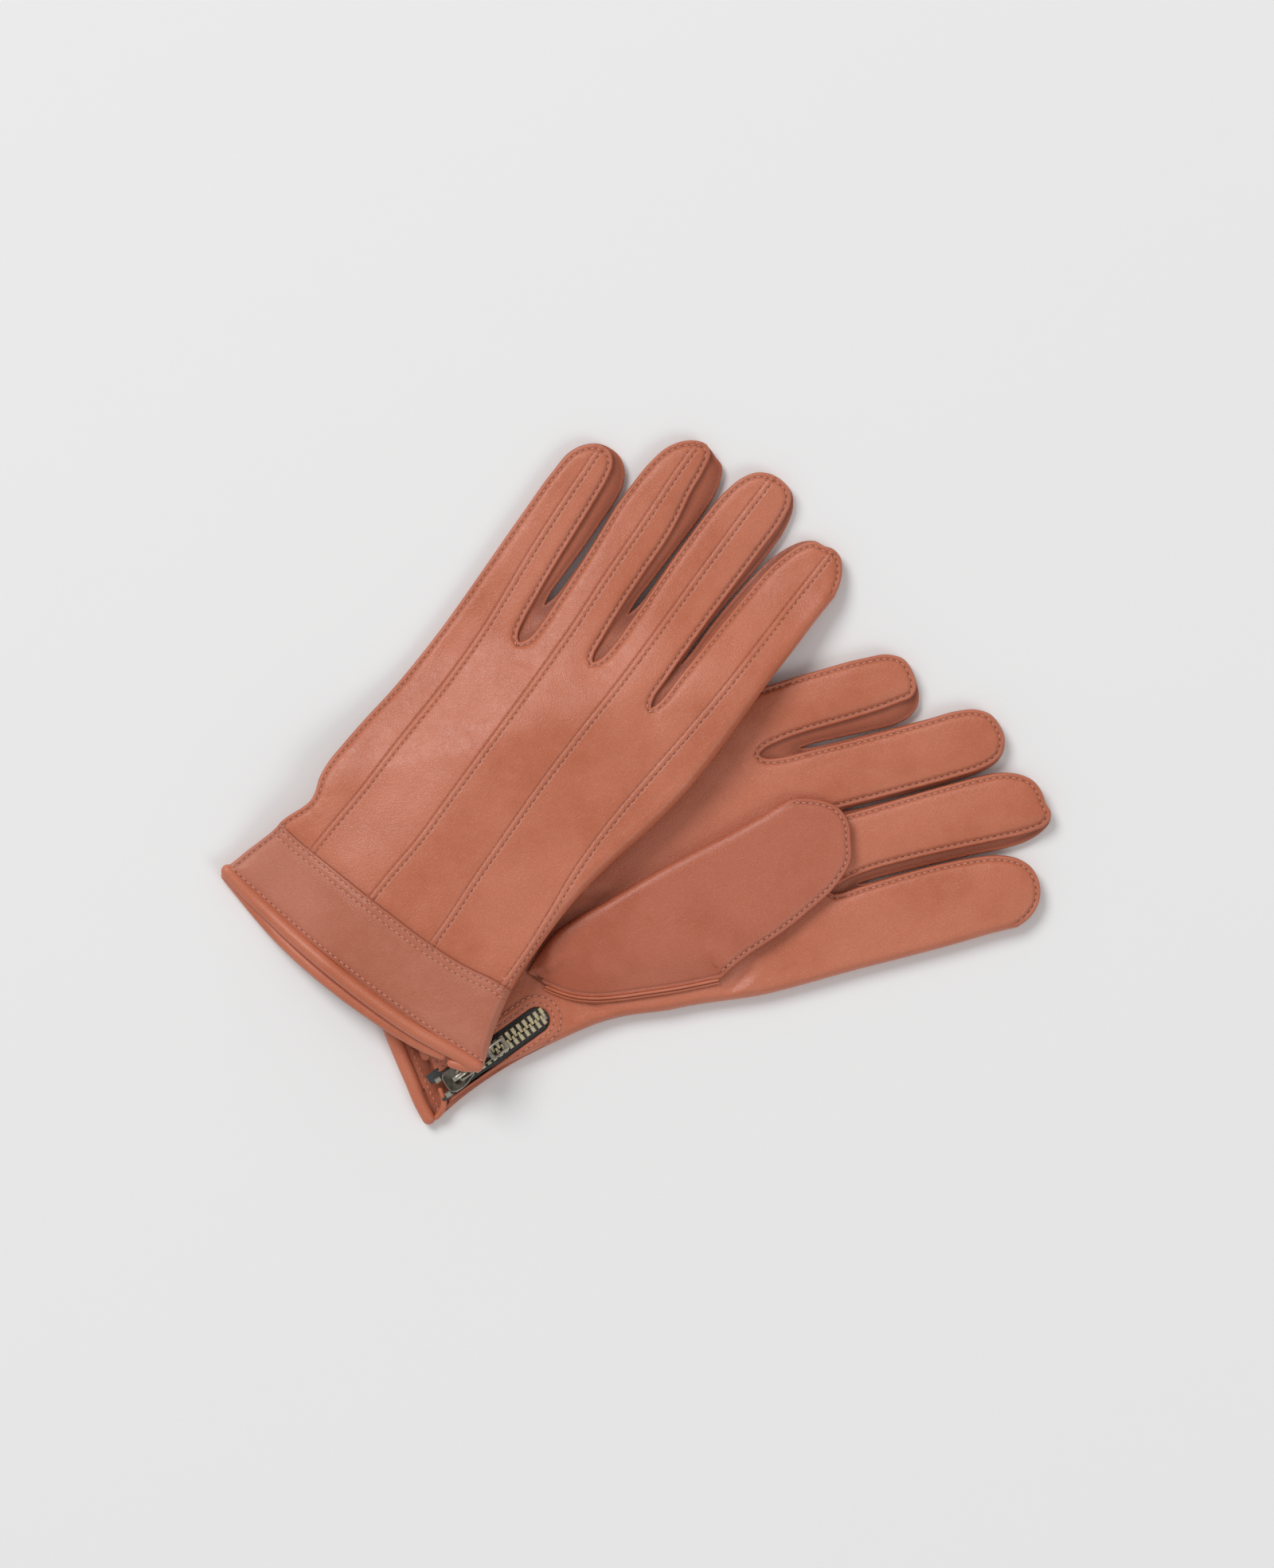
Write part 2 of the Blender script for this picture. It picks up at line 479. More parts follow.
def creasing(points, creases):
    """Relief of all the creases: a furrow with a low swell beside it, dying out at both ends."""
    result = np.zeros(len(points))
    for u, v, angle, half_length, half_width, depth in creases:
        a = math.radians(angle)
        du, dv = points[:, 0] - u, points[:, 1] - v
        x = du * math.cos(a) + dv * math.sin(a)
        y = -du * math.sin(a) + dv * math.cos(a) + 0.03 * x * x / max(half_length, 1)
        taper = ease(1 - np.abs(x) / half_length)
        fold = np.exp(-(y / half_width) ** 2)
        swell = np.exp(-((y - 1.8 * half_width) / half_width) ** 2)
        result -= depth * taper * (fold - 0.45 * swell)
    return result


# Distances from a tuck, the band's step and the slot's edge at which the mesh has a row of points
TUCK_ROWS = (-2.0, -1.5, -1.15, -0.75, 0, 0.75, 1.15, 1.5, 2.0)
BAND_ROWS = (-0.6, -0.12, 0.12, 0.5, 1.0, 1.5, 2.2, 3.3, 4.0, 4.8)
SLOT_ROWS = (0.4, 0.9, 1.6, 2.4, 3.2, 4.1, 5.2)
SLOT_STEP = 1.2


class Panel:
    """One triangulated layer of a glove: points as (u, v, height) and triangles."""

    def __init__(self, side, outline, upper, slot=False, tucks=(), band=False, seed=0.0):
        self.side, self.outline, self.upper = side, outline, upper
        self.slot, self.tucks, self.band, self.seed = slot, tucks, band, seed
        self.band_path = through(BAND_EDGE, spacing=1.25) if band else None
        self.build()

    def height(self, points):
        """Height of the layer over the underside at any pattern points, with the nearest outline point."""
        points = np.asarray(points, float)
        h, index, d = self.outline.height(points)
        soft = ease((d - 1.9) / 4)
        relief = undulation(points, self.seed) * soft
        if self.upper:
            relief += creasing(points, CREASES[self.side]) * ease((d - 1.0) / 2)
        for path in self.tucks:
            signed, reach, _ = across(points, path)
            beside = reach < np.abs(signed) + 1.3
            relief += table_at(TUCK_LIFT, signed) * beside * (0.35 + 0.65 * ease(d / 3))
        if self.slot:
            away = slot_distance(self.side, points)
            near = ease(1 - (away - 3) / 8)
            relief = relief * (1 - near) + table_at(SLOT_LIP, away) * near
        if self.band:
            signed, _, _ = across(points, self.band_path)
            relief = np.where(signed > 0, relief * 0.6, relief)
            relief += table_at(BAND_STEP, signed) * (0.6 + 0.4 * ease(d / 3))
        if not self.upper:
            return sizes().depth - np.minimum(h + relief * 0.5, PATTERN_DEPTH), index, d
        return h + relief, index, d

    def build(self):
        """The rows of points that hold the relief's edges, and the mesh through them."""
        ring = self.outline.points
        groups = [ring]
        edges = [(i, (i + 1) % len(ring)) for i in range(len(ring))]
        for gap in RINGS:
            inner = ring - self.outline.normals * gap
            _, d = self.outline.nearest(inner)
            groups.append(inner[d > gap - 0.05 - 0.03 * gap])
        for path in self.tucks:
            n = -normals_of(path)
            for off in TUCK_ROWS:
                groups.append(path + n * off)
        if self.band:
            n = -normals_of(self.band_path)
            for off in BAND_ROWS:
                groups.append(self.band_path + n * off)
        start = sum(len(g) for g in groups)
        if self.slot:
            hole = slot_points(self.side, 0, SLOT_STEP)
            groups.append(hole)
            edges += [(start + i, start + i + 1) for i in range(len(hole) - 1)]
            for grow in SLOT_ROWS:
                groups.append(slot_points(self.side, grow, SLOT_STEP))
        extra = np.vstack(groups[1:])
        extra_inside = inside(extra, ring)
        first_held = start - len(ring)
        last_held = first_held + (len(hole) if self.slot else 0)
        order = np.arange(len(extra))
        held = (order >= first_held) & (order < last_held)
        _, d_extra = self.outline.nearest(extra)
        first_rings = sum(len(g) for g in groups[1:1 + len(RINGS)])
        late = order >= first_rings
        wanted = held | (extra_inside & (~late | (d_extra > 0.25)))
        remap = np.cumsum(wanted) - 1 + len(ring)
        edges = [(a, b) if max(a, b) < len(ring) else tuple(int(remap[i - len(ring)]) for i in (a, b))
                 for a, b in edges]
        self.triangulate(np.vstack([ring, extra[wanted], self.open_grid()]), edges)
        h, self.near, self.reach = self.height(self.uv)
        self.points = np.column_stack([self.uv, h])

    def open_grid(self):
        """Evenly spread points, clear of the rows along seams, tucks, band and slot."""
        ring, step = self.outline.points, sizes().mesh_step
        clear = 0.6 * step
        low, high = ring.min(0), ring.max(0)
        rows = np.arange(low[1], high[1], step * 0.866)
        grid = np.array([(u, v) for j, v in enumerate(rows)
                         for u in np.arange(low[0] + (j % 2) * step / 2, high[0], step)])
        grid = grid[inside(grid, ring)]
        keep = self.outline.nearest(grid)[1] > RINGS[-1] + clear
        for path in self.tucks:
            keep &= across(grid, path)[1] > TUCK_ROWS[-1] + clear
        if self.slot:
            keep &= slot_distance(self.side, grid) > SLOT_ROWS[-1] + clear
        if self.band:
            signed = across(grid, self.band_path)[0]
            keep &= (signed < BAND_ROWS[0] - clear) | (signed > BAND_ROWS[-1] + clear)
        return grid[keep]

    def triangulate(self, cloud, edges):
        """Triangles between pattern points, the first of which are the outline's."""
        ring = self.outline.points
        result = delaunay_2d_cdt([Vector(p) for p in cloud], edges, [], 0, 1e-4)
        self.uv = np.array([tuple(p) for p in result[0]])
        faces = np.array([f for f in result[2] if len(f) == 3])
        centres = self.uv[faces].mean(1)
        good = inside(centres, ring)
        if self.slot:
            good &= slot_distance(self.side, centres) > 0
        faces = faces[good]
        a, b, c = (self.uv[faces[:, i]] for i in range(3))
        area = (b[:, 0] - a[:, 0]) * (c[:, 1] - a[:, 1]) - (b[:, 1] - a[:, 1]) * (c[:, 0] - a[:, 0])
        faces[area < 0] = faces[area < 0][:, ::-1]
        faces = faces[np.abs(area) > 1e-4]
        if not self.upper:
            faces = faces[:, ::-1]
        self.ring_index = np.empty(len(ring), int)
        for new, olds in enumerate(result[3]):
            for old in olds:
                if old < len(ring):
                    self.ring_index[old] = new
        self.faces = faces


def glove_outlines(side):
    """Outlines of the upper and the lower panel, with as many points each."""
    step = sizes().seam_step
    kinds = [SEAM] * 4 + [FOLD, CUFF]
    labels = [0, 1, 2, 3, 3, -1]
    upper = Outline(UPPER[side], kinds, labels, step)
    lower = Outline([LOWER[side][i] for i in range(6)], kinds, labels, step, upper.counts)
    return upper, lower


# ---------------------------------------------------------------- meshes

def add_mesh(name, points, faces, materials, material_index=None, normals=None, groove=None):
    """A mesh object from world points in metres and a list of faces."""
    mesh = bpy.data.meshes.new(name)
    mesh.from_pydata([tuple(p) for p in points], [], [tuple(int(i) for i in f) for f in faces])
    for material in materials:
        mesh.materials.append(material)
    if material_index is not None:
        mesh.polygons.foreach_set("material_index", np.asarray(material_index, np.int32))
    mesh.polygons.foreach_set("use_smooth", np.ones(len(mesh.polygons), bool))
    if groove is not None:
        attribute = mesh.attributes.new("groove", "FLOAT", "POINT")
        attribute.data.foreach_set("value", np.asarray(groove, np.float32))
    mesh.update()
    if normals is not None:
        mesh.normals_split_custom_set_from_vertices([tuple(n) for n in normals])
    obj = bpy.data.objects.new(name, mesh)
    bpy.context.scene.collection.objects.link(obj)
    return obj


def vertex_normals(points, faces):
    """Area-weighted vertex normals of triangles and quads."""
    normals = np.zeros_like(points)
    for size in (3, 4):
        f = np.array([face for face in faces if len(face) == size])
        if len(f):
            corners = [points[f[:, i]] for i in range(size)]
            if size == 3:
                n = np.cross(corners[1] - corners[0], corners[2] - corners[0])
            else:
                n = np.cross(corners[2] - corners[0], corners[3] - corners[1])
            for i in range(size):
                np.add.at(normals, f[:, i], n)
    return normals / np.maximum(np.linalg.norm(normals, axis=1), 1e-12)[:, None]


def grid_faces(rows, cols, closed=False):
    """Quads of a grid of points laid row by row, or of a tube where each row closes on itself."""
    wrap = cols if closed else cols - 1
    return [(r * cols + c, (r + 1) * cols + c, (r + 1) * cols + (c + 1) % cols, r * cols + (c + 1) % cols)
            for r in range(rows - 1) for c in range(wrap)]


def compact(points, faces):
    """Only the points that the faces use."""
    used = np.unique(np.concatenate([np.asarray(f) for f in faces]))
    new = np.full(len(points), -1)
    new[used] = np.arange(len(used))
    return used, [tuple(new[list(f)]) for f in faces]


def tube(path, radius, sides=20, dome=4):
    """A closed round tube with domed ends along world points in metres: its points and faces."""
    path = np.asarray(path, float)
    radius = np.broadcast_to(radius, len(path)).astype(float)
    d = np.gradient(path, axis=0)
    d /= np.linalg.norm(d, axis=1)[:, None]
    centres, radii, headings = list(path), list(radius), list(d)
    angles = np.linspace(0, math.pi / 2, dome + 1)[1:]
    for end, sign in ((0, -1), (-1, 1)):
        caps = [(path[end] + sign * d[end] * radius[end] * math.sin(a), radius[end] * max(math.cos(a), 0.02))
                for a in angles]
        for centre, r in caps:
            position = 0 if sign < 0 else len(centres)
            centres.insert(position, centre)
            radii.insert(position, r)
            headings.insert(position, d[end])
    rings = []
    for centre, r, heading in zip(centres, radii, headings):
        sideways = np.cross(heading, (0, 0, 1))
        sideways /= np.linalg.norm(sideways)
        up = np.cross(sideways, heading)
        a = np.linspace(0, 2 * math.pi, sides, endpoint=False)[:, None]
        rings.append(centre + r * (np.cos(a) * sideways + np.sin(a) * up))
    points = np.vstack(rings)
    faces = grid_faces(len(rings), sides, closed=True)
    faces.append(tuple(range(sides)))
    faces.append(tuple(range(len(points) - 1, len(points) - sides - 1, -1)))
    return points, faces


def join(parts):
    """Several (points, faces) as one."""
    points, faces, start = [], [], 0
    for p, f in parts:
        points.append(p)
        faces += [tuple(i + start for i in face) for face in f]
        start += len(p)
    return np.vstack(points), faces


def capsule(length, radius, sides=8):
    """A stitch along x, with round ends."""
    path = np.array([(-length / 2 + radius, 0, 0), (0, 0, radius * 0.35), (length / 2 - radius, 0, 0)])
    return tube(path, radius, sides=sides, dome=2)


def frames_at(side, row, height, offset=0.0):
    """World position and direction at each (u, v) of a row that runs over a panel."""
    lift = height(row)[0] + offset
    here = place(side, np.column_stack([row, lift]))
    d = np.gradient(here, axis=0)
    d /= np.maximum(np.linalg.norm(d, axis=1), 1e-12)[:, None]
    return here, d


def repeat_along(base, here, directions):
    """Copies of one small mesh, each turned along its direction."""
    points, faces = base
    parts = []
    for position, heading in zip(here, directions):
        sideways = np.cross((0, 0, 1), heading)
        sideways /= max(np.linalg.norm(sideways), 1e-9)
        up = np.cross(heading, sideways)
        parts.append((points @ np.array([heading, sideways, up]) + position, faces))
    return join(parts)


# ---------------------------------------------------------------- joints


def attach(obj, side, label, slot, *nodes):
    """Ties a piece to the hand (label -1) or to a finger, and names its finish and what it stands for."""
    if label < 0:
        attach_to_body(obj, f"{side}_hand")
    else:
        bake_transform(obj)
    if nodes:
        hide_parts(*nodes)
    return obj


def attach_thumb(obj, side, slot, *nodes):
    """Ties a piece to the thumb, with its bend at the thumb's fold line."""
    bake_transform(obj)
    if nodes:
        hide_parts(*nodes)
    return obj


# ---------------------------------------------------------------- materials

class Nodes:
    """Short calls for making a node tree."""

    def __init__(self, tree):
        self.tree = tree
        tree.nodes.clear()

    def add(self, kind, inputs=None, **settings):
        node = self.tree.nodes.new(kind)
        for key, value in settings.items():
            setattr(node, key, value)
        for key, value in (inputs or {}).items():
            if isinstance(value, bpy.types.NodeSocket):
                self.tree.links.new(value, node.inputs[key])
            else:
                node.inputs[key].default_value = value
        return node

    def math(self, operation, a, b=0.0):
        return self.add("ShaderNodeMath", {0: a, 1: b}, operation=operation).outputs[0]

    def mix(self, factor, a, b, blend="MIX"):
        return self.add("ShaderNodeMix", {0: factor, 6: a, 7: b}, data_type="RGBA",
                        blend_type=blend).outputs[2]

    def noise(self, where, scale, detail, **more):
        inputs = {"Vector": where, "Scale": scale, "Detail": detail, **more}
        return self.add("ShaderNodeTexNoise", inputs).outputs["Fac"]

    def ramp(self, value, low, high, to_low=0.0, to_high=1.0):
        return self.add("ShaderNodeMapRange", {0: value, 1: low, 2: high, 3: to_low, 4: to_high},
                        interpolation_type="SMOOTHSTEP").outputs[0]


def group(name, inputs, outputs):
    """A new shader node group with its sockets, its nodes and its input and output nodes."""
    tree = bpy.data.node_groups.new(name, "ShaderNodeTree")
    for label, kind, default in inputs:
        socket = tree.interface.new_socket(label, in_out="INPUT", socket_type=kind)
        if default is not None:
            socket.default_value = default
    for label, kind in outputs:
        tree.interface.new_socket(label, in_out="OUTPUT", socket_type=kind)
    nodes = Nodes(tree)
    return tree, nodes, nodes.add("NodeGroupInput").outputs, nodes.add("NodeGroupOutput")


def leather_grain_group():
    """Fine pebbled grain with pores and soft creases, as a height and a pore mask."""
    inputs = [("Vector", "NodeSocketVector", None), ("Grain", "NodeSocketFloat", 1.0),
              ("Creases", "NodeSocketFloat", 1.0)]
    outputs = [("Height", "NodeSocketFloat"), ("Pores", "NodeSocketFloat")]
    tree, n, given, out = group("Leather grain", inputs, outputs)
    warp = n.add("ShaderNodeTexNoise", {"Vector": given["Vector"], "Scale": 420.0, "Detail": 2.0})
    shifted = n.add("ShaderNodeVectorMath", {0: warp.outputs["Color"], "Scale": 0.0009},
                    operation="SCALE").outputs[0]
    where = n.add("ShaderNodeVectorMath", {0: given["Vector"], 1: shifted}, operation="ADD").outputs[0]
    cells = n.add("ShaderNodeTexVoronoi", {"Vector": where, "Scale": 1150.0},
                  feature="DISTANCE_TO_EDGE").outputs["Distance"]
    pebbles = n.ramp(cells, 0.0, 0.28)
    fine = n.noise(given["Vector"], 2600.0, 3.0)
    wrinkle = n.noise(where, 190.0, 4.0, Roughness=0.6, Distortion=0.8)
    ridges = n.math("ABSOLUTE", n.math("SUBTRACT", wrinkle, 0.5))
    creases = n.math("MULTIPLY", n.ramp(ridges, 0.0, 0.07), given["Creases"])
    pebbled = n.math("ADD", n.math("MULTIPLY", pebbles, 0.55), n.math("MULTIPLY", fine, 0.6))
    grain = n.math("MULTIPLY", pebbled, given["Grain"])
    n.tree.links.new(n.math("ADD", grain, n.math("MULTIPLY", creases, 0.9)), out.inputs["Height"])
    n.tree.links.new(n.math("SUBTRACT", 1.0, pebbles), out.inputs["Pores"])
    return tree


def leather_tone_group():
    """Uneven dye, darker in seams and pores and paler where the surface is rubbed."""
    inputs = [("Vector", "NodeSocketVector", None), ("Colour", "NodeSocketColor", (0.5, 0.2, 0.1, 1)),
              ("Deep", "NodeSocketColor", (0.3, 0.1, 0.05, 1)), ("Groove", "NodeSocketFloat", 0.0),
              ("Pores", "NodeSocketFloat", 0.0), ("Rubbed", "NodeSocketFloat", 0.3)]
    outputs = [("Colour", "NodeSocketColor"), ("Roughness", "NodeSocketFloat")]
    tree, n, given, out = group("Leather tone", inputs, outputs)
    broad = n.noise(given["Vector"], 32.0, 3.0)
    mottle = n.noise(given["Vector"], 210.0, 4.0)
    pale = n.mix(1.0, given["Colour"], (1.07, 1.13, 1.2, 1), "MULTIPLY")
    rich = n.mix(1.0, given["Colour"], (0.93, 0.86, 0.78, 1), "MULTIPLY")
    base = n.mix(n.ramp(broad, 0.34, 0.66), rich, pale)
    base = n.mix(n.math("MULTIPLY", n.ramp(mottle, 0.42, 0.72), given["Rubbed"]), base, pale)
    base = n.mix(n.math("MULTIPLY", given["Pores"], 0.16), base, given["Deep"])
    edge = n.add("ShaderNodeNewGeometry").outputs["Pointiness"]
    base = n.mix(n.math("MULTIPLY", n.ramp(edge, 0.53, 0.62), 0.35), base, pale)
    base = n.mix(n.math("MULTIPLY", given["Groove"], 0.75), base, given["Deep"])
    n.tree.links.new(base, out.inputs["Colour"])
    rough = n.math("ADD", 0.3, n.math("MULTIPLY", mottle, 0.22))
    n.tree.links.new(n.math("ADD", rough, n.math("MULTIPLY", given["Groove"], 0.2)), out.inputs["Roughness"])
    return tree


def new_material(name):
    """An empty material and the calls for its nodes."""
    material = bpy.data.materials.new(name)
    material.use_nodes = True
    return material, Nodes(material.node_tree)


def finish_material(n, shader):
    n.add("ShaderNodeOutputMaterial", {"Surface": shader.outputs[0]})


def leather(name, colour, grain=0.7, creases=0.4):
    """Dyed leather with its grain, darker in the grooves of its seams."""
    material, n = new_material(name)
    where = n.add("ShaderNodeTexCoord").outputs["Object"]
    relief = n.add("ShaderNodeGroup", {}, node_tree=bpy.data.node_groups["Leather grain"])
    n.tree.links.new(where, relief.inputs["Vector"])
    relief.inputs["Grain"].default_value = grain
    relief.inputs["Creases"].default_value = creases
    groove = n.add("ShaderNodeAttribute", attribute_name="groove").outputs["Fac"]
    tone = n.add("ShaderNodeGroup", {}, node_tree=bpy.data.node_groups["Leather tone"])
    n.tree.links.new(where, tone.inputs["Vector"])
    n.tree.links.new(groove, tone.inputs["Groove"])
    n.tree.links.new(relief.outputs["Pores"], tone.inputs["Pores"])
    tone.inputs["Colour"].default_value = colour
    tone.inputs["Deep"].default_value = deeper(colour)
    bump = n.add("ShaderNodeBump", {"Height": relief.outputs["Height"], "Distance": 0.00012, "Strength": 0.8})
    shader = n.add("ShaderNodeBsdfPrincipled", {"Base Color": tone.outputs["Colour"],
                                                "Roughness": tone.outputs["Roughness"],
                                                "Normal": bump.outputs["Normal"],
                                                "Specular IOR Level": 0.55})
    finish_material(n, shader)
    return material


def thread(name, colour):
    """Twisted thread."""
    material, n = new_material(name)
    where = n.add("ShaderNodeTexCoord").outputs["Object"]
    strands = n.noise(where, 2600.0, 2.0)
    tint = n.mix(n.ramp(strands, 0.35, 0.65), tuple(c * 0.8 for c in colour[:3]) + (1,), colour)
    bump = n.add("ShaderNodeBump", {"Height": strands, "Distance": 0.00008, "Strength": 0.7})
    shader = n.add("ShaderNodeBsdfPrincipled", {"Base Color": tint, "Roughness": 0.5, "Sheen Weight": 0.2,
                                                "Normal": bump.outputs["Normal"]})
    finish_material(n, shader)
    return material


def woven(name, colour, pitch):
    """Fabric with yarns that pass over and under one another."""
    material, n = new_material(name)
    where = n.add("ShaderNodeTexCoord").outputs["Object"]
    turn = n.add("ShaderNodeVectorRotate", {"Vector": where, "Angle": TURN[RIGHT] + ZIP_LEAN[RIGHT]},
                 rotation_type="Z_AXIS", invert=True).outputs[0]
    axes = n.add("ShaderNodeSeparateXYZ", {0: turn}).outputs
    waves = [n.math("SINE", n.math("MULTIPLY", axes[i], 2 * math.pi / pitch)) for i in (0, 1)]
    weave = n.math("ADD", 0.5, n.math("MULTIPLY", n.math("MULTIPLY", waves[0], waves[1]), 0.5))
    fuzz = n.noise(where, 3000.0, 2.0)
    height = n.math("ADD", weave, n.math("MULTIPLY", fuzz, 0.3))
    pale = tuple(min(1, c * 2.6 + 0.03) for c in colour[:3]) + (1,)
    tint = n.mix(n.ramp(height, 0.35, 1.1), colour, pale)
    bump = n.add("ShaderNodeBump", {"Height": height, "Distance": 0.00015, "Strength": 0.9})
    shader = n.add("ShaderNodeBsdfPrincipled", {"Base Color": tint, "Roughness": 0.85, "Sheen Weight": 0.15,
                                                "Normal": bump.outputs["Normal"]})
    finish_material(n, shader)
    return material


def metal(name, colour, roughness, tarnish):
    """Plated metal with fine scratches and dull patches."""
    material, n = new_material(name)
    where = n.add("ShaderNodeTexCoord").outputs["Object"]
    stretched = n.add("ShaderNodeMapping", {"Vector": where, "Scale": (300.0, 2400.0, 900.0)}).outputs[0]
    scratch = n.noise(stretched, 1.0, 3.0)
    patch = n.noise(where, 500.0, 3.0)
    dull = tuple(c * (1 - tarnish) for c in colour[:3]) + (1,)
    tint = n.mix(n.ramp(patch, 0.4, 0.68), colour, dull)
    rough = n.math("ADD", roughness, n.math("MULTIPLY", n.ramp(patch, 0.35, 0.7), 0.2))
    bump = n.add("ShaderNodeBump", {"Height": scratch, "Distance": 0.00003, "Strength": 0.5})
    shader = n.add("ShaderNodeBsdfPrincipled", {"Base Color": tint, "Roughness": rough, "Metallic": 0.85,
                                                "Normal": bump.outputs["Normal"]})
    finish_material(n, shader)
    return material


def knit(name, colour):
    """Fine knitted lining: rows of small loops."""
    material, n = new_material(name)
    where = n.add("ShaderNodeTexCoord").outputs["Object"]
    axes = n.add("ShaderNodeSeparateXYZ", {0: where}).outputs
    columns = n.math("SINE", n.math("MULTIPLY", axes[0], 2 * math.pi / 0.0012))
    rows = n.math("SINE", n.math("ADD", n.math("MULTIPLY", axes[1], 2 * math.pi / 0.0009),
                                 n.math("MULTIPLY", n.math("ABSOLUTE", columns), 1.6)))
    loops = n.math("ADD", n.math("MULTIPLY", rows, 0.5), n.math("MULTIPLY", n.math("ABSOLUTE", columns), 0.5))
    deep = tuple(c * 0.55 for c in colour[:3]) + (1,)
    tint = n.mix(n.ramp(loops, -0.4, 0.9), deep, colour)
    bump = n.add("ShaderNodeBump", {"Height": loops, "Distance": 0.0002, "Strength": 0.9})
    shader = n.add("ShaderNodeBsdfPrincipled", {"Base Color": tint, "Roughness": 0.9, "Sheen Weight": 0.3,
                                                "Normal": bump.outputs["Normal"]})
    finish_material(n, shader)
    return material


def deeper(colour):
    """The colour of dyed leather in its pores and grooves."""
    return (colour[0] * 0.42, colour[1] * 0.42 * 0.8, colour[2] * 0.42 * 0.7, 1.0)


def make_materials():
    leather_grain_group()
    leather_tone_group()
    c = colours()
    leather("Glove leather", tuple(c.panel))
    leather("Band leather", tuple(c.band), grain=0.6)
    leather("Thumb leather", tuple(c.thumb), grain=0.6)
    leather("Fourchette leather", tuple(c.gusset), creases=0.6)
    leather("Piping leather", tuple(c.panel), grain=0.5, creases=0.15)
    thread("Sewing thread", tuple(c.thread))
    thread("Needle hole", tuple(c.hole))
    woven("Zip tape weave", tuple(c.tape), 0.0008)
    metal("Zip brass", tuple(c.brass), 0.22, 0.3)
    metal("Zip nickel", tuple(c.nickel), 0.26, 0.35)
    knit("Knit lining", tuple(c.lining))


def material(name):
    return bpy.data.materials[name]


# ---------------------------------------------------------------- hands

# Finish of each face of a hand or finger, and the darkening along a seam by the distance from its edge
LEATHER, WALL, BAND = range(3)
SEAM_SHADE = (0, 0.7, 1.25, 1.75, 2.4), (0.15, 0, 0.25, 0.8, 0)
BAND_SHADE = (-0.7, -0.12, 0.12, 0.5), (0, 0.9, 0.5, 0)
SLOT_SHADE = (0, 0.4, 1.2, 1.6, 2.0, 3.7, 4.1, 4.5), (0.6, 0, 0, 0.4, 0, 0, 0.4, 0)
TUCK_SHADE = (0.75, 1.15, 1.5), (0, 0.75, 0)


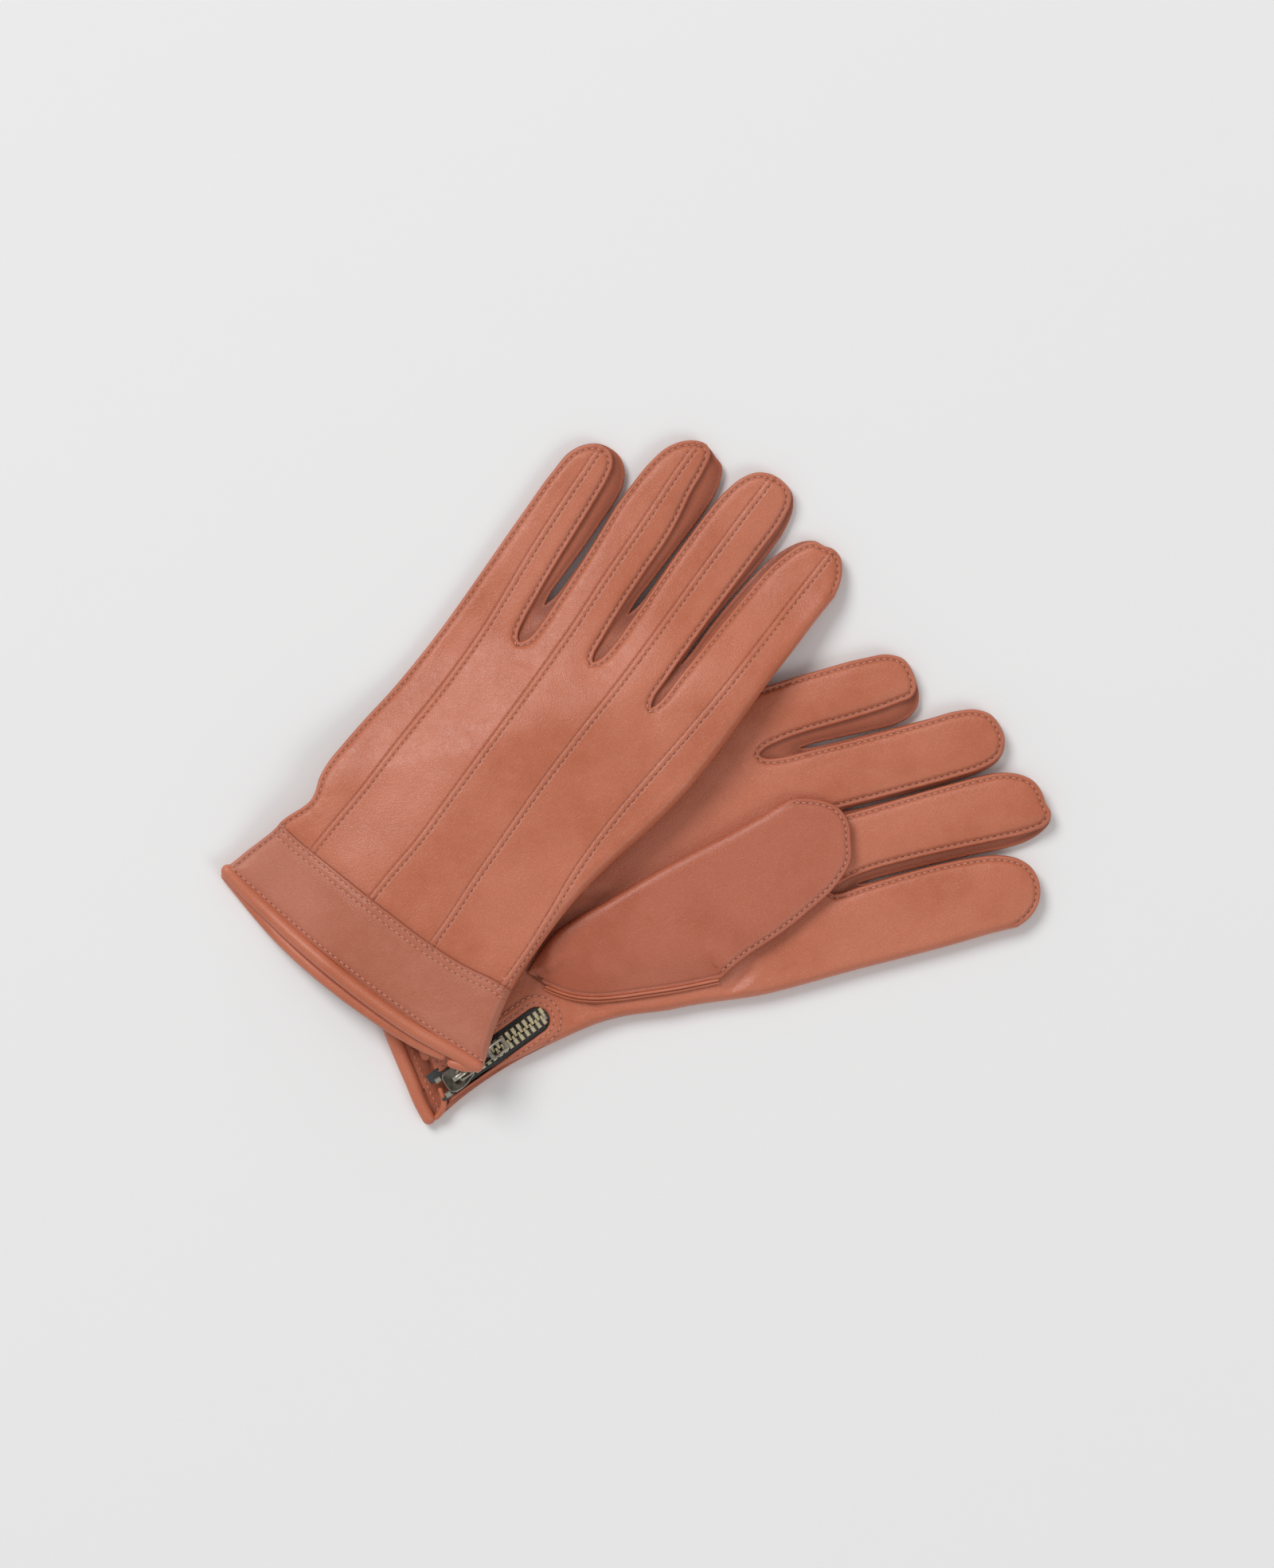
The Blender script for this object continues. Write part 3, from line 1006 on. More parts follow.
class Glove:
    """The panels of one glove, and the way each point of them belongs to the hand or to a finger."""

    def __init__(self, side):
        self.side = side
        upper, lower = glove_outlines(side)
        back_up = side == LEFT
        tucks = [through(path, spacing=1.25) for path in TUCKS] if back_up else []
        self.upper = Panel(side, upper, True, slot=not back_up, tucks=tucks, band=back_up, seed=3.0 + back_up)
        self.lower = Panel(side, lower, False, slot=back_up, band=not back_up, seed=11.0 + back_up)
        self.labels = upper.label
        self.shell()

    def region(self, near, v):
        """-1 for the hand, or the number of the finger."""
        label = self.labels[near]
        cut = np.array(CUT_V[self.side] + (math.inf,))[label]
        return np.where((label >= 0) & (v > cut), label, -1)

    def shell(self):
        """Both layers and the fourchettes between them as one surface."""
        up, low = self.upper, self.lower
        n_up, n_low = len(up.points), len(low.points)
        t, b = up.outline.points, low.outline.points
        seam = up.outline.weights[:, SEAM][:, None]
        cuff = up.outline.kind == CUFF
        out_t, out_b = up.outline.normals, low.outline.normals
        h_t = up.points[up.ring_index, 2]
        h_b = low.points[low.ring_index, 2]
        columns = [(t - out_t * 0.35 * seam, 0.14), (t - out_t * 1.5 * seam, 0.24),
                   ((t + b) / 2 - (out_t + out_b) * 0.55 * seam, 0.5), (b - out_b * 1.5 * seam, 0.76),
                   (b - out_b * 0.35 * seam, 0.86)]
        start, count = n_up + n_low, len(t)
        walls = [np.column_stack([position, h_t + (h_b - h_t) * share]) for position, share in columns]
        self.points = np.vstack([up.points, low.points] + walls)
        index = [up.ring_index] + [start + i * count + np.arange(count) for i in range(len(walls))]
        index.append(n_up + low.ring_index)
        faces, labels, flags = [], [], []
        for panel, offset in ((up, 0), (low, n_up)):
            faces += [tuple(f + offset) for f in panel.faces]
            labels += list(self.region(panel.near[panel.faces[:, 0]], panel.points[panel.faces, 1].mean(1)))
            flags += self.finishes(panel)
        for i in range(count):
            j = (i + 1) % count
            if cuff[i] and cuff[j]:
                continue
            mid_v = (t[i, 1] + b[i, 1]) / 2
            label = int(self.region(np.array([i]), np.array([mid_v]))[0])
            for c in range(len(index) - 1):
                faces.append((index[c][i], index[c][j], index[c + 1][j], index[c + 1][i]))
                labels.append(label)
                flags.append(WALL if seam[i, 0] > 0.5 else LEATHER)
        self.faces, self.part, self.flag = faces, np.array(labels), np.array(flags)
        self.world = place(self.side, self.points)
        self.normals = vertex_normals(self.world, faces)
        groove = np.zeros(len(self.world))
        for offset, panel in ((0, up), (n_up, low)):
            groove[offset:offset + len(panel.reach)] = self.shading(panel)
        groove[n_up + n_low:] = 0.25
        groove[start + count:start + 2 * count] = 0.9
        groove[start + 3 * count:start + 4 * count] = 0.9
        self.groove = groove

    def finishes(self, panel):
        """The finish of each face of a panel."""
        if not panel.band:
            return [LEATHER] * len(panel.faces)
        return list(np.where(across(panel.uv[panel.faces].mean(1), panel.band_path)[0] > 0, BAND, LEATHER))

    def shading(self, panel):
        """How dark each point of a panel is, along its seams, tucks, band and slot."""
        shade = np.interp(panel.reach, *SEAM_SHADE) * panel.outline.weights[panel.near, SEAM]
        for path in panel.tucks:
            signed, reach, _ = across(panel.uv, path)
            line = np.interp(np.abs(signed), *TUCK_SHADE) * (reach < np.abs(signed) + 1.3)
            shade = np.maximum(shade, line)
        if panel.band:
            shade = np.maximum(shade, np.interp(across(panel.uv, panel.band_path)[0], *BAND_SHADE))
        if panel.slot:
            shade = np.maximum(shade, np.interp(slot_distance(self.side, panel.uv), *SLOT_SHADE))
        return shade


GLOVES = {}


def cad_nodes(side, *names):
    """Names of one glove's nodes."""
    return [f"{side}_{name}" for name in names]


def part_name(label):
    """The hand for -1, or a finger by its number."""
    return "hand" if label < 0 else FINGERS[label]


class GLOVES_OT_shells(bpy.types.Operator):
    """Hands and fingers: back, palm, fold and fourchettes of each glove"""
    bl_idname = "gloves.shells"
    bl_label = "Hands and fingers"

    def execute(self, context):
        for side in SIDES:
            glove = GLOVES[side] = Glove(side)
            for label in range(-1, 4):
                for want_band in ((False, True) if label < 0 else (False,)):
                    chosen = np.flatnonzero((glove.part == label) & ((glove.flag == BAND) == want_band))
                    used, faces = compact(glove.world, [glove.faces[i] for i in chosen])
                    piece = "cuff_band" if want_band else part_name(label)
                    materials = ([material("Band leather")] if want_band else
                                 [material("Glove leather"), material("Fourchette leather")])
                    obj = add_mesh(f"{side}_{piece}_leather", glove.world[used], faces, materials,
                                   None if want_band else glove.flag[chosen], glove.normals[used],
                                   glove.groove[used])
                    if want_band:
                        attach(obj, side, -1, "band_leather", *cad_nodes(side, "cuff_band"))
                    elif label < 0:
                        attach(obj, side, -1, "glove_leather", *cad_nodes(
                            side, "hand_back", "hand_palm", "trank_fold", "side_seam", "finger_webs"))
                    else:
                        finger = FINGERS[label]
                        walls = "fourchette" if label in (0, 3) else "fourchettes"
                        nodes = cad_nodes(side, finger, f"{finger}_{walls}")
                        attach(obj, side, label, "glove_leather", *nodes)
        return {"FINISHED"}


# ---------------------------------------------------------------- thumbs


class Thumb:
    """The flattened thumb: an upper and a lower layer with rounded sides."""

    def __init__(self, side):
        self.side = side
        self.outline = Outline(THUMB, [FOLD, SEAM, ROOT], [0, 0, 0], sizes().seam_step)
        self.panel = Panel(side, self.outline, True, seed=23.0)
        self.panel.height = self.plain_height
        h, index, d = self.plain_height(self.panel.uv)
        self.panel.points[:, 2] = h
        self.reach, self.near = d, index

    def plain_height(self, points):
        h, index, d = self.outline.height(np.asarray(points, float))
        root = ease((points[:, 1] - 38) / 10)
        relief = undulation(points, 23.0, 0.6) * ease((d - 1.5) / 4)
        return (h + relief) * (0.35 + 0.65 * root), index, d

    def to_height(self, h):
        """Height over the underside of the glove, from 0 to the pattern's depth through the thumb."""
        base = THUMB_H - 0.3 + h * sizes().thumb_depth / PATTERN_DEPTH
        return base if self.side == RIGHT else sizes().depth - base

    def surface(self, points):
        h, _, d = self.plain_height(points)
        return self.to_height(h), None, d

    def build(self):
        """The thumb's leather: an upper and a lower layer that share their outline."""
        ring = self.panel.ring_index
        top = self.panel.points.copy()
        low = top.copy()
        flat = np.maximum(PATTERN_DEPTH - top[:, 2], 0) * np.clip(top[:, 2] / 4, 0, 1)
        low[:, 2] = np.where(self.reach < 0.01, top[:, 2], np.minimum(flat * 0.6, top[:, 2]))
        top[:, 2] = self.to_height(top[:, 2])
        low[:, 2] = self.to_height(low[:, 2])
        n = len(top)
        remap = np.arange(n) + n
        remap[ring] = ring
        points = np.vstack([top, low])
        faces = [tuple(f) for f in self.panel.faces] + [tuple(remap[f[::-1]]) for f in self.panel.faces]
        if self.side == LEFT:
            faces = [f[::-1] for f in faces]
        world = place(self.side, points)
        w = self.outline.weights[self.near, SEAM] + self.outline.weights[self.near, ROOT]
        shade = np.interp(self.reach, *SEAM_SHADE) * w
        used, faces = compact(world, faces)
        normals = vertex_normals(world[used], faces)
        thick = np.concatenate([np.abs(top[:, 2] - low[:, 2])] * 2)[used]
        full = [f for f in faces if thick[list(f)].min() > 2.5]
        self.shell = world[used], full, normals * np.clip(thick * 0.25, 0.02, 0.75)[:, None]
        obj = add_mesh(f"{self.side}_thumb_leather", world[used], faces, [material("Thumb leather")], None,
                       normals, np.concatenate([shade, shade])[used])
        attach_thumb(obj, self.side, "glove_leather", *cad_nodes(self.side, "thumb", "thumb_gusset"))

    def flange(self):
        """The two ridges of leather where the root of the thumb is sewn to the palm."""
        root = np.flatnonzero(self.outline.kind == ROOT)[1:-4]
        ridges = []
        for away, radius, lift in ((0.3, 0.55, 1.3), (1.35, 0.5, 0.45)):
            line = self.outline.points[root] + self.outline.normals[root] * away
            line = through(line[::3], spacing=0.9)
            height = THUMB_H - 0.2 + lift if self.side == RIGHT else sizes().depth - THUMB_H - lift
            line = np.column_stack([line, np.full(len(line), height)])
            ridges.append(tube(place(self.side, line), radius * MM, sides=12, dome=3))
        obj = add_mesh(f"{self.side}_thumb_flange", *join(ridges), [material("Piping leather")])
        attach_thumb(obj, self.side, "edge_leather")


class GLOVES_OT_thumbs(bpy.types.Operator):
    """The thumbs, laid flat on the palms"""
    bl_idname = "gloves.thumbs"
    bl_label = "Thumbs"

    def execute(self, context):
        for side in SIDES:
            thumb = GLOVES[f"{side}_thumb"] = Thumb(side)
            thumb.build()
            thumb.flange()
        return {"FINISHED"}


# ---------------------------------------------------------------- stitches

# Distance of each row of stitches inside its seam, beside its tuck, inside the cuff's edge, and from the
# band's step and the slot's edge, and the spacing of the points from which a row is sewn
SEAM_STITCH, TUCK_STITCH, CUFF_STITCH = 1.75, 1.15, 1.3
BAND_STITCHES, SLOT_STITCHES = (1.5, 4.0), (1.6, 4.1)
SEWING_STEP = 0.4


def stitch_rows(rows, side, height):
    """Stitches and needle holes for rows of pattern points, as two sets of mesh parts."""
    s = sizes()
    stitch = capsule(s.stitch_length * MM, s.stitch_radius * MM)
    hole = capsule(0.62 * MM, 0.2 * MM, sides=6)
    stitches, holes = [], []
    for row in rows:
        if len(row) < 3:
            continue
        dense = even(row, spacing=SEWING_STEP)
        here, heading = frames_at(side, dense, height, 0.1)
        count = max(1, int(SEWING_STEP * (len(dense) - 1) / s.stitch_pitch))
        spots = np.linspace(0, len(dense) - 1, count * 2 + 1).astype(int)
        stitches.append(repeat_along(stitch, here[spots[1::2]], heading[spots[1::2]]))
        low = here[spots[::2]] - np.array([0, 0, 0.16]) * MM
        holes.append(repeat_along(hole, low, heading[spots[::2]]))
    return stitches, holes


def sew(name, stitches, holes, tie):
    """One piece for the stitches and one for the needle holes, each tied to its body by tie."""
    tie(add_mesh(f"{name}_stitches", *join(stitches), [material("Sewing thread")]))
    tie(add_mesh(f"{name}_needle_holes", *join(holes), [material("Needle hole")]))


def split_rows(row, keep):
    """The stretches of a row where keep is true."""
    stretches, current = [], []
    for point, flag in zip(row, keep):
        if flag:
            current.append(point)
        elif current:
            stretches.append(np.array(current))
            current = []
    if current:
        stretches.append(np.array(current))
    return [r for r in stretches if len(r) > 3]


class GLOVES_OT_stitches(bpy.types.Operator):
    """All rows of stitching that show on the gloves"""
    bl_idname = "gloves.stitches"
    bl_label = "Stitching"

    def execute(self, context):
        for side in SIDES:
            glove = GLOVES[side]
            height = glove.upper.height
            pieces = self.by_piece(glove, *self.hand_rows(side, glove.upper))
            for label, (sewn, plain) in sorted(pieces.items()):
                stitches, holes = stitch_rows(sewn, side, height)
                holes += stitch_rows(plain, side, height)[1]
                sew(f"{side}_{part_name(label)}", stitches, holes,
                    lambda obj: attach(obj, side, label, "edge_leather"))
            thumb = GLOVES[f"{side}_thumb"]
            stitches, holes = stitch_rows(self.seam_rows(thumb.outline), side, thumb.surface)
            sew(f"{side}_thumb", stitches, holes, lambda obj: attach_thumb(obj, side, "edge_leather"))
        return {"FINISHED"}

    def seam_rows(self, outline):
        """Rows of stitches inside the seams of an outline."""
        row = outline.points - outline.normals * SEAM_STITCH
        return split_rows(row, (outline.kind == SEAM) & (outline.nearest(row)[1] > 1.6))

    def hand_rows(self, side, panel):
        """Rows with stitches, and rows with needle holes only, on the upper panel of a glove."""
        outline = panel.outline
        rows, plain = self.seam_rows(outline), []
        for path in panel.tucks:
            away = normals_of(path) * TUCK_STITCH
            ok = (outline.nearest(path)[1] > 1.2) & (across(path, panel.band_path)[0] < -0.5)
            rows += split_rows(path + away, ok)
            plain += split_rows(path - away, ok)
        if panel.band:
            for off in BAND_STITCHES:
                rows += self.rows_inside(outline, panel.band_path - normals_of(panel.band_path) * off, 0.8)
            rows += split_rows(outline.points - outline.normals * CUFF_STITCH, outline.kind == CUFF)
        if panel.slot:
            for grow in SLOT_STITCHES:
                rows += self.rows_inside(outline, slot_points(side, grow, SLOT_STEP), 1.0)
        return rows, plain

    def rows_inside(self, outline, path, margin):
        """The stretches of a path that lie inside an outline, clear of its edge."""
        return split_rows(path, inside(path, outline.points) & (outline.nearest(path)[1] > margin))

    def by_piece(self, glove, rows, plain):
        """The rows of the hand (-1) and of each finger, as {label: (sewn, plain)}."""
        pieces = {}
        for kind, group_of_rows in enumerate((rows, plain)):
            for row in group_of_rows:
                labels = glove.region(glove.upper.outline.nearest(row)[0], row[:, 1])
                for value in np.unique(labels):
                    for stretch in split_rows(row, labels == value):
                        pieces.setdefault(int(value), ([], []))[kind].append(stretch)
        return pieces


# ---------------------------------------------------------------- cuffs

# Middle of each roll of piping as (u, v, height over the underside), and its share of the full radius
PIPING = {
    LEFT: [[(-57.6, 0.4, 5.6), (-50, -1, 5.7), (-40, -2.1, 5.8), (-25, -3.4, 5.8), (0, -4.2, 5.8),
            (20, -3.9, 5.8), (32, -3.1, 5.8), (42, -1.7, 5.8), (50, -0.5, 5.8), (57, 0.3, 5.7)],
           [(-57, -1.2, 2.4), (-50, -2.8, 2.3), (-40, -5, 2.2), (-30, -6.8, 2.2), (-15, -8.2, 2.2),
            (0, -8.6, 2.2), (15, -8.2, 2.2), (28, -7.2, 2.3), (38, -5.8, 2.5), (44.5, -4.2, 2.8)],
           [(49.5, -4.4, 4.0), (51.5, -3.4, 4.3), (53.5, -2.6, 4.4), (55.5, -1.6, 4.4)]],
    RIGHT: [[(-46.5, -9.5, 2.7), (-30, -14.8, 2.9), (0, -17.8, 2.95), (22, -17.6, 2.95), (36, -16.6, 2.95),
             (46, -15.2, 2.9), (56, -13.6, 2.9), (64, -12.4, 2.9), (70, -10.9, 2.9)],
            [(-46.5, -4.6, 5.8), (-25, -7.2, 5.8), (0, -8.4, 5.8), (20, -8, 5.8), (38, -7.2, 5.6),
             (47.5, -6.4, 5.2)],
            [(61, -4.2, 5.2), (64.5, -3.9, 5.4), (68, -5.2, 5.0), (70.3, -8, 4.0)]],
}
PIPING_SHARE = {LEFT: (1.13, 1.0, 0.85), RIGHT: (1.1, 0.9, 0.45)}


class GLOVES_OT_cuffs(bpy.types.Operator):
    """Rolled piping, and the facings inside the cuffs"""
    bl_idname = "gloves.cuffs"
    bl_label = "Cuff piping and facings"

    def execute(self, context):
        radius = sizes().piping * MM
        for side in SIDES:
            parts = []
            for path, share in zip(PIPING[side], PIPING_SHARE[side]):
                line = through(path, spacing=1.2)
                swell = 1 + 0.18 * np.sin(np.linspace(0, math.pi, len(line)))
                parts.append(tube(place(side, line), radius * share * swell, sides=24, dome=5))
            obj = add_mesh(f"{side}_piping", *join(parts), [material("Piping leather")])
            attach(obj, side, -1, "piping_leather", *cad_nodes(side, "cuff_piping"))
            self.facings(side)
        return {"FINISHED"}

    def facings(self, side):
        glove = GLOVES[side]
        parts, sewn = [], []
        for panel in (glove.upper, glove.lower):
            outline = panel.outline
            edge = even(outline.points[outline.kind == CUFF], spacing=1.5)
            middle = edge[:, 0].mean()
            edge[:, 0] = middle + (edge[:, 0] - middle) * 0.965
            inward = -1.25 if panel.upper else 1.25
            rows = []
            for step in np.linspace(0, 18, 13):
                row = edge + np.array([0, step - 0.8])
                wave = 0.28 * np.sin(row[:, 0] / 2.7 + step / 4) * float(ease(step / 4)) * (not panel.upper)
                height = panel.height(row)[0] + inward * (0.35 + 0.65 * ease(step / 2)) + wave
                rows.append(np.column_stack([row, height]))
            grid = np.vstack(rows)
            faces = grid_faces(len(rows), len(edge))
            keep = inside(grid[:, :2], outline.points) | ((grid[:, 1] < 3) & (np.abs(grid[:, 0]) < 60))
            if panel.slot:
                keep &= slot_distance(side, grid[:, :2]) > 0.5
            faces = [f for f in faces if keep[list(f)].all()]
            parts.append((place(side, grid), faces))
            if not panel.upper:
                line = even(rows[2], spacing=SEWING_STEP)
                here = place(side, line + np.array([0, 0, 0.12]))
                heading = np.gradient(here, axis=0)
                heading /= np.linalg.norm(heading, axis=1)[:, None]
                stitch = capsule(sizes().stitch_length * MM, sizes().stitch_radius * MM)
                sewn.append(repeat_along(stitch, here[3::6], heading[3::6]))
        attach(add_mesh(f"{side}_facing_stitches", *join(sewn), [material("Sewing thread")]), side, -1,
               "edge_leather")
        obj = add_mesh(f"{side}_cuff_facing", *join(parts), [material("Fourchette leather")])
        attach(obj, side, -1, "facing_leather", *cad_nodes(side, "zip_facing"))


# ---------------------------------------------------------------- zips

def zip_place(side, points):
    """World positions in metres of points in the zip's frame: along, across, and out of the palm."""
    p = np.asarray(points, float)
    a = TURN[side] + ZIP_LEAN[side]
    x0, y0 = spot(side, *ZIP_START[side])
    flip = 1 if side == RIGHT else -1
    z0 = sizes().depth if side == RIGHT else CROSS_H
    x, y, z = p[:, 0], p[:, 1] * flip, p[:, 2] * flip
    return np.column_stack([x0 + x * math.cos(a) - y * math.sin(a), y0 + x * math.sin(a) + y * math.cos(a),
                            z0 + z]) * MM


def bevelled(low, high, bevel):
    """A box with bevelled edges."""
    low, high = np.array(low, float), np.array(high, float)
    layers = []
    for z, inset in ((low[2], bevel), (low[2] + bevel, 0), (high[2] - bevel, 0), (high[2], bevel)):
        x0, y0, x1, y1 = low[0] + inset, low[1] + inset, high[0] - inset, high[1] - inset
        c = bevel * 0.6
        layers.append([(x0 + c, y0, z), (x1 - c, y0, z), (x1, y0 + c, z), (x1, y1 - c, z), (x1 - c, y1, z),
                       (x0 + c, y1, z), (x0, y1 - c, z), (x0, y0 + c, z)])
    points = np.array(layers).reshape(-1, 3)
    faces = [(a, b, c, d) for a, d, c, b in grid_faces(4, 8, closed=True)]
    faces = [f[::-1] for f in faces]
    faces += [tuple(range(7, -1, -1)), tuple(range(24, 32))]
    return points, faces


def plate(outline, z0, z1, bevel, hole=None):
    """A flat plate with rounded edges, with or without a window of as many points as its outline."""
    o = np.asarray(outline, float)
    n = normals_of(o, closed=True)
    lines = [(o - n * bevel, z1), (o - n * bevel * 0.3, z1 - bevel * 0.3), (o, z1 - bevel),
             (o, z0 + bevel), (o - n * bevel * 0.3, z0 + bevel * 0.3), (o - n * bevel, z0)]
    if hole is not None:
        w = np.asarray(hole, float)
        m = normals_of(w, closed=True)
        lines += [(w + m * bevel, z0), (w, z0 + bevel), (w, z1 - bevel), (w + m * bevel, z1), lines[0]]
    rings = [np.column_stack([line, np.full(len(line), z)]) for line, z in lines]
    count = len(o)
    points = np.vstack(rings)
    faces = grid_faces(len(rings), count, closed=True)
    if hole is None:
        faces += [tuple(range(count - 1, -1, -1)), tuple(range(len(points) - count, len(points)))]
    return points, faces


def rounded(x0, x1, y0, y1, r, steps=5):
    """A rectangle with round corners, clockwise, as a list of points."""
    points = []
    corners = (x0 + r, y1 - r, 180), (x1 - r, y1 - r, 90), (x1 - r, y0 + r, 0), (x0 + r, y0 + r, -90)
    for cx, cy, a0 in corners:
        for i in range(steps + 1):
            a = math.radians(a0 - 90 * i / steps)
            points.append((cx + r * math.cos(a), cy + r * math.sin(a)))
    return points


TOOTH_PITCH = 2.5


def zip_tape(fold_side):
    """Both halves of the tape, each with a cord along its inner edge, narrower on the fold's side."""
    halves = []
    for s in (-1, 1):
        rows = []
        for x in np.linspace(-4.5, ZIP_LENGTH, 41):
            near = 3.2 - 2.2 * float(ease((x + 2.6) / 12)) - 0.95 * float(ease((x - 39) / 1.5))
            outer = 4.1 + 1.5 * float(ease((x - 12) / 16)) if s == fold_side else 7.0
            drop = -1.1 - 0.6 * float(ease(-x / 6))
            section = ((near, drop - 0.35), (near, drop + 0.35), (near + 0.6, drop + 0.45),
                       (near + 1.3, drop), (outer, drop), (outer, drop - 0.4), (near + 1.3, drop - 0.4))
            rows.append([(x, s * y, z) for y, z in section])
        points = np.array(rows).reshape(-1, 3)
        faces = grid_faces(len(rows), 7, closed=True)
        faces += [tuple(range(6, -1, -1)), tuple(range(len(points) - 7, len(points)))]
        halves.append((points, faces))
    return halves


def zip_teeth():
    """Two rows of teeth that mesh, from the slider to the bottom stop."""
    teeth = []
    first = SLIDER_LENGTH + 0.5
    count = int((ZIP_LENGTH - 3.4 - first) / TOOTH_PITCH) + 1
    for s in (-1, 1):
        for i in range(count):
            x = first + (i + (0.5 if s > 0 else 0)) * TOOTH_PITCH
            arms = bevelled((x, 0.8, -1.9), (x + 1.5, 3.1, 0.0), 0.22)
            head = bevelled((x + 0.15, -0.55, -1.6), (x + 1.2, 1.2, -0.12), 0.2)
            for points, faces in (arms, head):
                points = points * np.array([1, s, 1])
                teeth.append((points, faces if s > 0 else [f[::-1] for f in faces]))
    return teeth


def zip_slider():
    """Two plates with flanges along their sides, and an arch that holds the pull."""
    half = [(0, 3.0), (0.8, 3.8), (3, 4.35), (6, 4.2), (8.5, 3.4), (10.6, 2.6), (SLIDER_LENGTH, 1.2)]
    body = through(half + [(x, -y) for x, y in half[::-1]] + [(-0.35, 0), half[0]], spacing=0.5)[:-1]
    parts = [plate(body, 0.15, 1.15, 0.4), plate(body, -3.4, -2.5, 0.3)]
    for y in (3.5, -4.3):
        parts.append(bevelled((1.2, y, -3.2), (6.2, y + 0.8, 0.9), 0.25))
    arch = through([(2.9, 0, 0.9), (3.0, 0, 2.0), (3.8, 0, 2.85), (6.2, 0, 3.1), (8.4, 0, 2.8), (9.2, 0, 2.0),
                    (9.3, 0, 0.9)], spacing=0.4)
    section = ((-0.9, 0), (-0.7, 0.25), (0.7, 0.25), (0.9, 0), (0.7, -0.3), (-0.7, -0.3))
    points = np.array([(x, y, z + lift) for x, _, z in arch for y, lift in section])
    parts.append((points, grid_faces(len(arch), len(section), closed=True)))
    return parts


def zip_pull():
    """The eye round the slider's arch, the stem, and the frame with its window."""
    bar = 6.2
    end = rounded(bar + 12.6, bar + 20.5, -2.75, 2.75, 1.1)
    window = rounded(bar + 14.2, bar + 18.9, -1.6, 1.6, 0.5)
    stem = rounded(bar + 3.4, bar + 13.4, -2.1, 2.1, 0.9)
    eye = rounded(bar - 1.0, bar + 5.0, -2.3, 2.3, 1.0)
    eye_hole = rounded(bar - 0.2, bar + 3.6, -1.25, 1.25, 0.5)
    return [plate(end, 1.25, 2.35, 0.3, window), plate(stem, 1.4, 2.2, 0.25),
            plate(eye, 1.3, 2.3, 0.3, eye_hole)]


def zip_parts(side):
    """Every piece of one zip in the zip's own frame, in millimetres."""
    tops = [bevelled((-2.6, y - 0.95, -2.1), (-0.2, y + 0.95, 0.2), 0.3) for y in (-3.2, 3.2)]
    bottom = [bevelled((ZIP_LENGTH - 2.4, -1.9, -2.2), (ZIP_LENGTH - 1.0, 1.9, -0.2), 0.3)]
    return {"tape": zip_tape(-1 if side == RIGHT else 1), "teeth": zip_teeth(), "top_stops": tops,
            "bottom_stop": bottom, "slider": zip_slider(), "pull": zip_pull()}


class GLOVES_OT_zips(bpy.types.Operator):
    """The zips: tapes, teeth, stops, slider and pull"""
    bl_idname = "gloves.zips"
    bl_label = "Zips"

    def execute(self, context):
        finishes = {"tape": ("Zip tape weave", "zip_tape"), "teeth": ("Zip brass", "zip_teeth")}
        hardware = ("Zip nickel", "zip_hardware")
        for side in SIDES:
            for name, parts in zip_parts(side).items():
                points, faces = join(parts)
                finish, slot_name = finishes.get(name, hardware)
                obj = add_mesh(f"{side}_zip_{name}_detail", zip_place(side, points), faces,
                               [material(finish)])
                for polygon in obj.data.polygons:
                    polygon.use_smooth = name in ("slider", "pull", "tape")
                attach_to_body(obj, f"{side}_{name if name in ('slider', 'pull') else 'hand'}")
                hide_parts(f"{side}_zip_{name}")
        return {"FINISHED"}


# ---------------------------------------------------------------- linings

class GLOVES_OT_linings(bpy.types.Operator):
    """The knitted linings inside the hands, fingers and thumbs"""
    bl_idname = "gloves.linings"
    bl_label = "Linings"

    def execute(self, context):
        depth = 0.75 * MM
        seam_allowance = 2.2
        for side in SIDES:
            glove = GLOVES[side]
            reach = np.concatenate([glove.upper.reach, glove.lower.reach, np.zeros(len(glove.world))])
            clear = np.array([reach[list(f)].min() >= seam_allowance for f in glove.faces])
            for label in range(-1, 4):
                chosen = np.flatnonzero((glove.part == label) & clear)
                used, faces = compact(glove.world, [glove.faces[i][::-1] for i in chosen])
                part = part_name(label)
                obj = add_mesh(f"{side}_{part}_knit", glove.world[used] - glove.normals[used] * depth, faces,
                               [material("Knit lining")])
                attach(obj, side, label, "knit_lining", f"{side}_{part}_lining")
            points, faces, normals = GLOVES[f"{side}_thumb"].shell
            used, faces = compact(points, faces)
            points, normals = points[used], normals[used]
            obj = add_mesh(f"{side}_thumb_knit", points - normals * MM, [f[::-1] for f in faces],
                           [material("Knit lining")])
            attach_thumb(obj, side, "knit_lining", f"{side}_thumb_lining")
        return {"FINISHED"}


# ---------------------------------------------------------------- stage

# Point on the floor under the camera, and the width of its sensor in millimetres
VIEW_CENTRE = Vector((0.00065, -0.0011, 0))
SENSOR = 36


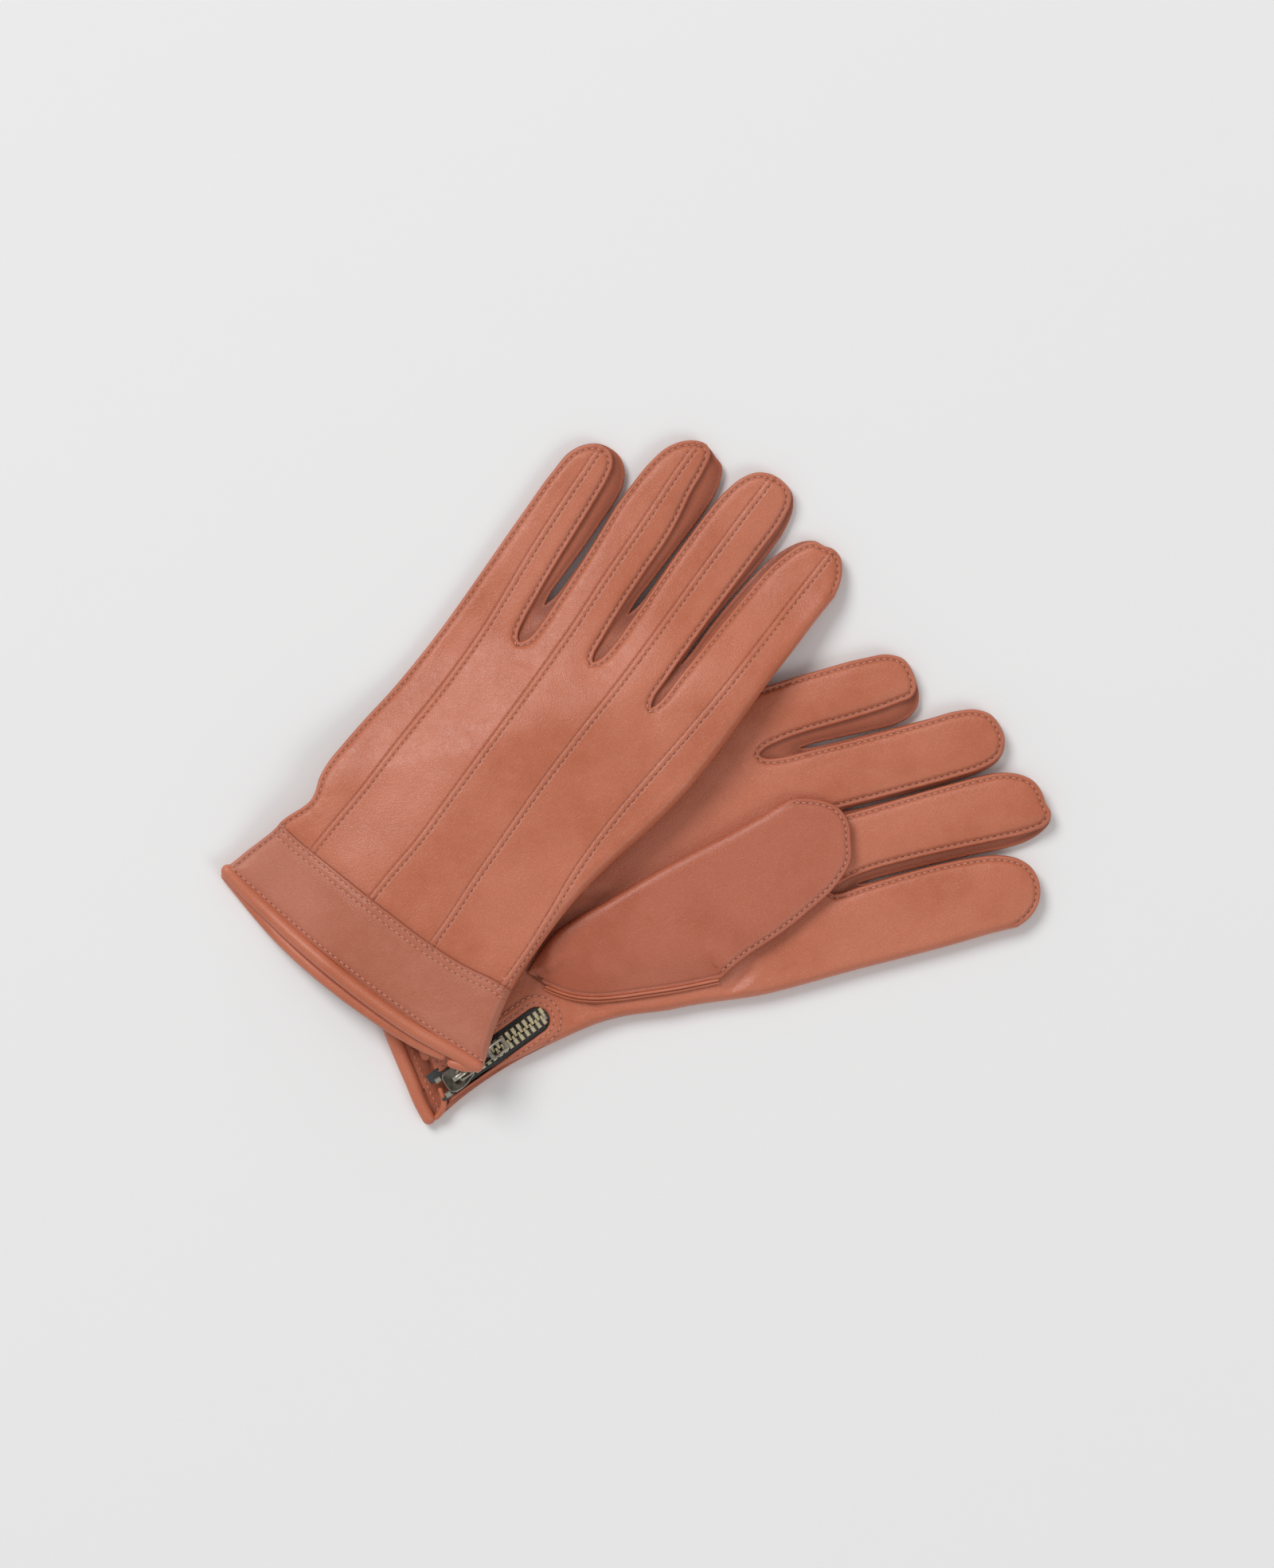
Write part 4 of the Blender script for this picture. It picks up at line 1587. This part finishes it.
class GLOVES_OT_stage(bpy.types.Operator):
    """Floor, soft studio light and camera"""
    bl_idname = "gloves.stage"
    bl_label = "Stage"

    def execute(self, context):
        stage = context.scene.glove_stage
        context.scene.view_settings.view_transform = "Standard"
        floor_material, n = new_material("Pale floor")
        where = n.add("ShaderNodeTexCoord").outputs["Object"]
        fine = n.noise(where, 60.0, 2.0)
        shader = n.add("ShaderNodeBsdfPrincipled", {
            "Base Color": n.mix(fine, tuple(stage.floor), tuple(c * 0.995 for c in stage.floor[:3]) + (1,)),
            "Roughness": 0.9, "Specular IOR Level": 0.1})
        finish_material(n, shader)
        corners = [(x, y, 0) for x, y in ((-3, -3), (3, -3), (3, 3), (-3, 3))]
        floor = add_mesh("floor", corners, [(0, 1, 2, 3)], [floor_material])

        world = bpy.data.worlds.new("Studio")
        context.scene.world = world
        world.use_nodes = True
        background = world.node_tree.nodes["Background"]
        background.inputs["Color"].default_value = (1, 1, 1, 1)
        background.inputs["Strength"].default_value = stage.sky
        self.lamp("key_light", (-2.3, 2.8, 3.9), 2.6, stage.key)
        self.lamp("fill_light", (2.6, -2.0, 3.4), 2.4, stage.key * 0.25)

        camera_data = bpy.data.cameras.new("camera")
        camera_data.sensor_width = SENSOR
        camera_data.sensor_fit = "HORIZONTAL"
        camera_data.lens = SENSOR * stage.camera_height / stage.view_width
        camera_data.clip_end = 20
        camera = bpy.data.objects.new("camera", camera_data)
        camera.location = VIEW_CENTRE + Vector((0, 0, stage.camera_height))
        context.scene.collection.objects.link(camera)
        context.scene.camera = camera
        return {"FINISHED"}

    def lamp(self, name, location, size, power):
        """A round soft light aimed at the gloves."""
        data = bpy.data.lights.new(name, "AREA")
        data.shape = "DISK"
        data.size = size
        data.energy = power
        lamp = bpy.data.objects.new(name, data)
        lamp.location = location
        lamp.rotation_euler = (VIEW_CENTRE - lamp.location).to_track_quat("-Z", "Y").to_euler()
        bpy.context.scene.collection.objects.link(lamp)


# ---------------------------------------------------------------- panel and main

OPERATORS = (GLOVES_OT_shells, GLOVES_OT_thumbs, GLOVES_OT_stitches, GLOVES_OT_cuffs, GLOVES_OT_zips,
             GLOVES_OT_linings, GLOVES_OT_stage)


class GLOVES_PT_panel(bpy.types.Panel):
    """Buttons for each group of pieces"""
    bl_label = "Gloves"
    bl_idname = "GLOVES_PT_panel"
    bl_space_type = "VIEW_3D"
    bl_region_type = "UI"
    bl_category = "Gloves"

    def draw(self, context):
        for operator in OPERATORS:
            self.layout.operator(operator.bl_idname)


SETTINGS = {"glove_sizes": GloveSizes, "glove_colours": GloveColours, "glove_stage": StageSettings}


def register():
    for group_class in SETTINGS.values():
        bpy.utils.register_class(group_class)
    for name, group_class in SETTINGS.items():
        setattr(bpy.types.Scene, name, PointerProperty(type=group_class))
    for operator in OPERATORS:
        bpy.utils.register_class(operator)
    bpy.utils.register_class(GLOVES_PT_panel)


def unregister():
    bpy.utils.unregister_class(GLOVES_PT_panel)
    for operator in reversed(OPERATORS):
        bpy.utils.unregister_class(operator)
    for name, group_class in SETTINGS.items():
        delattr(bpy.types.Scene, name)
        bpy.utils.unregister_class(group_class)


def main():
    register()
    make_materials()
    for operator in OPERATORS:
        space, name = operator.bl_idname.split(".")
        getattr(getattr(bpy.ops, space), name)()


if __name__ == "__main__":
    main()
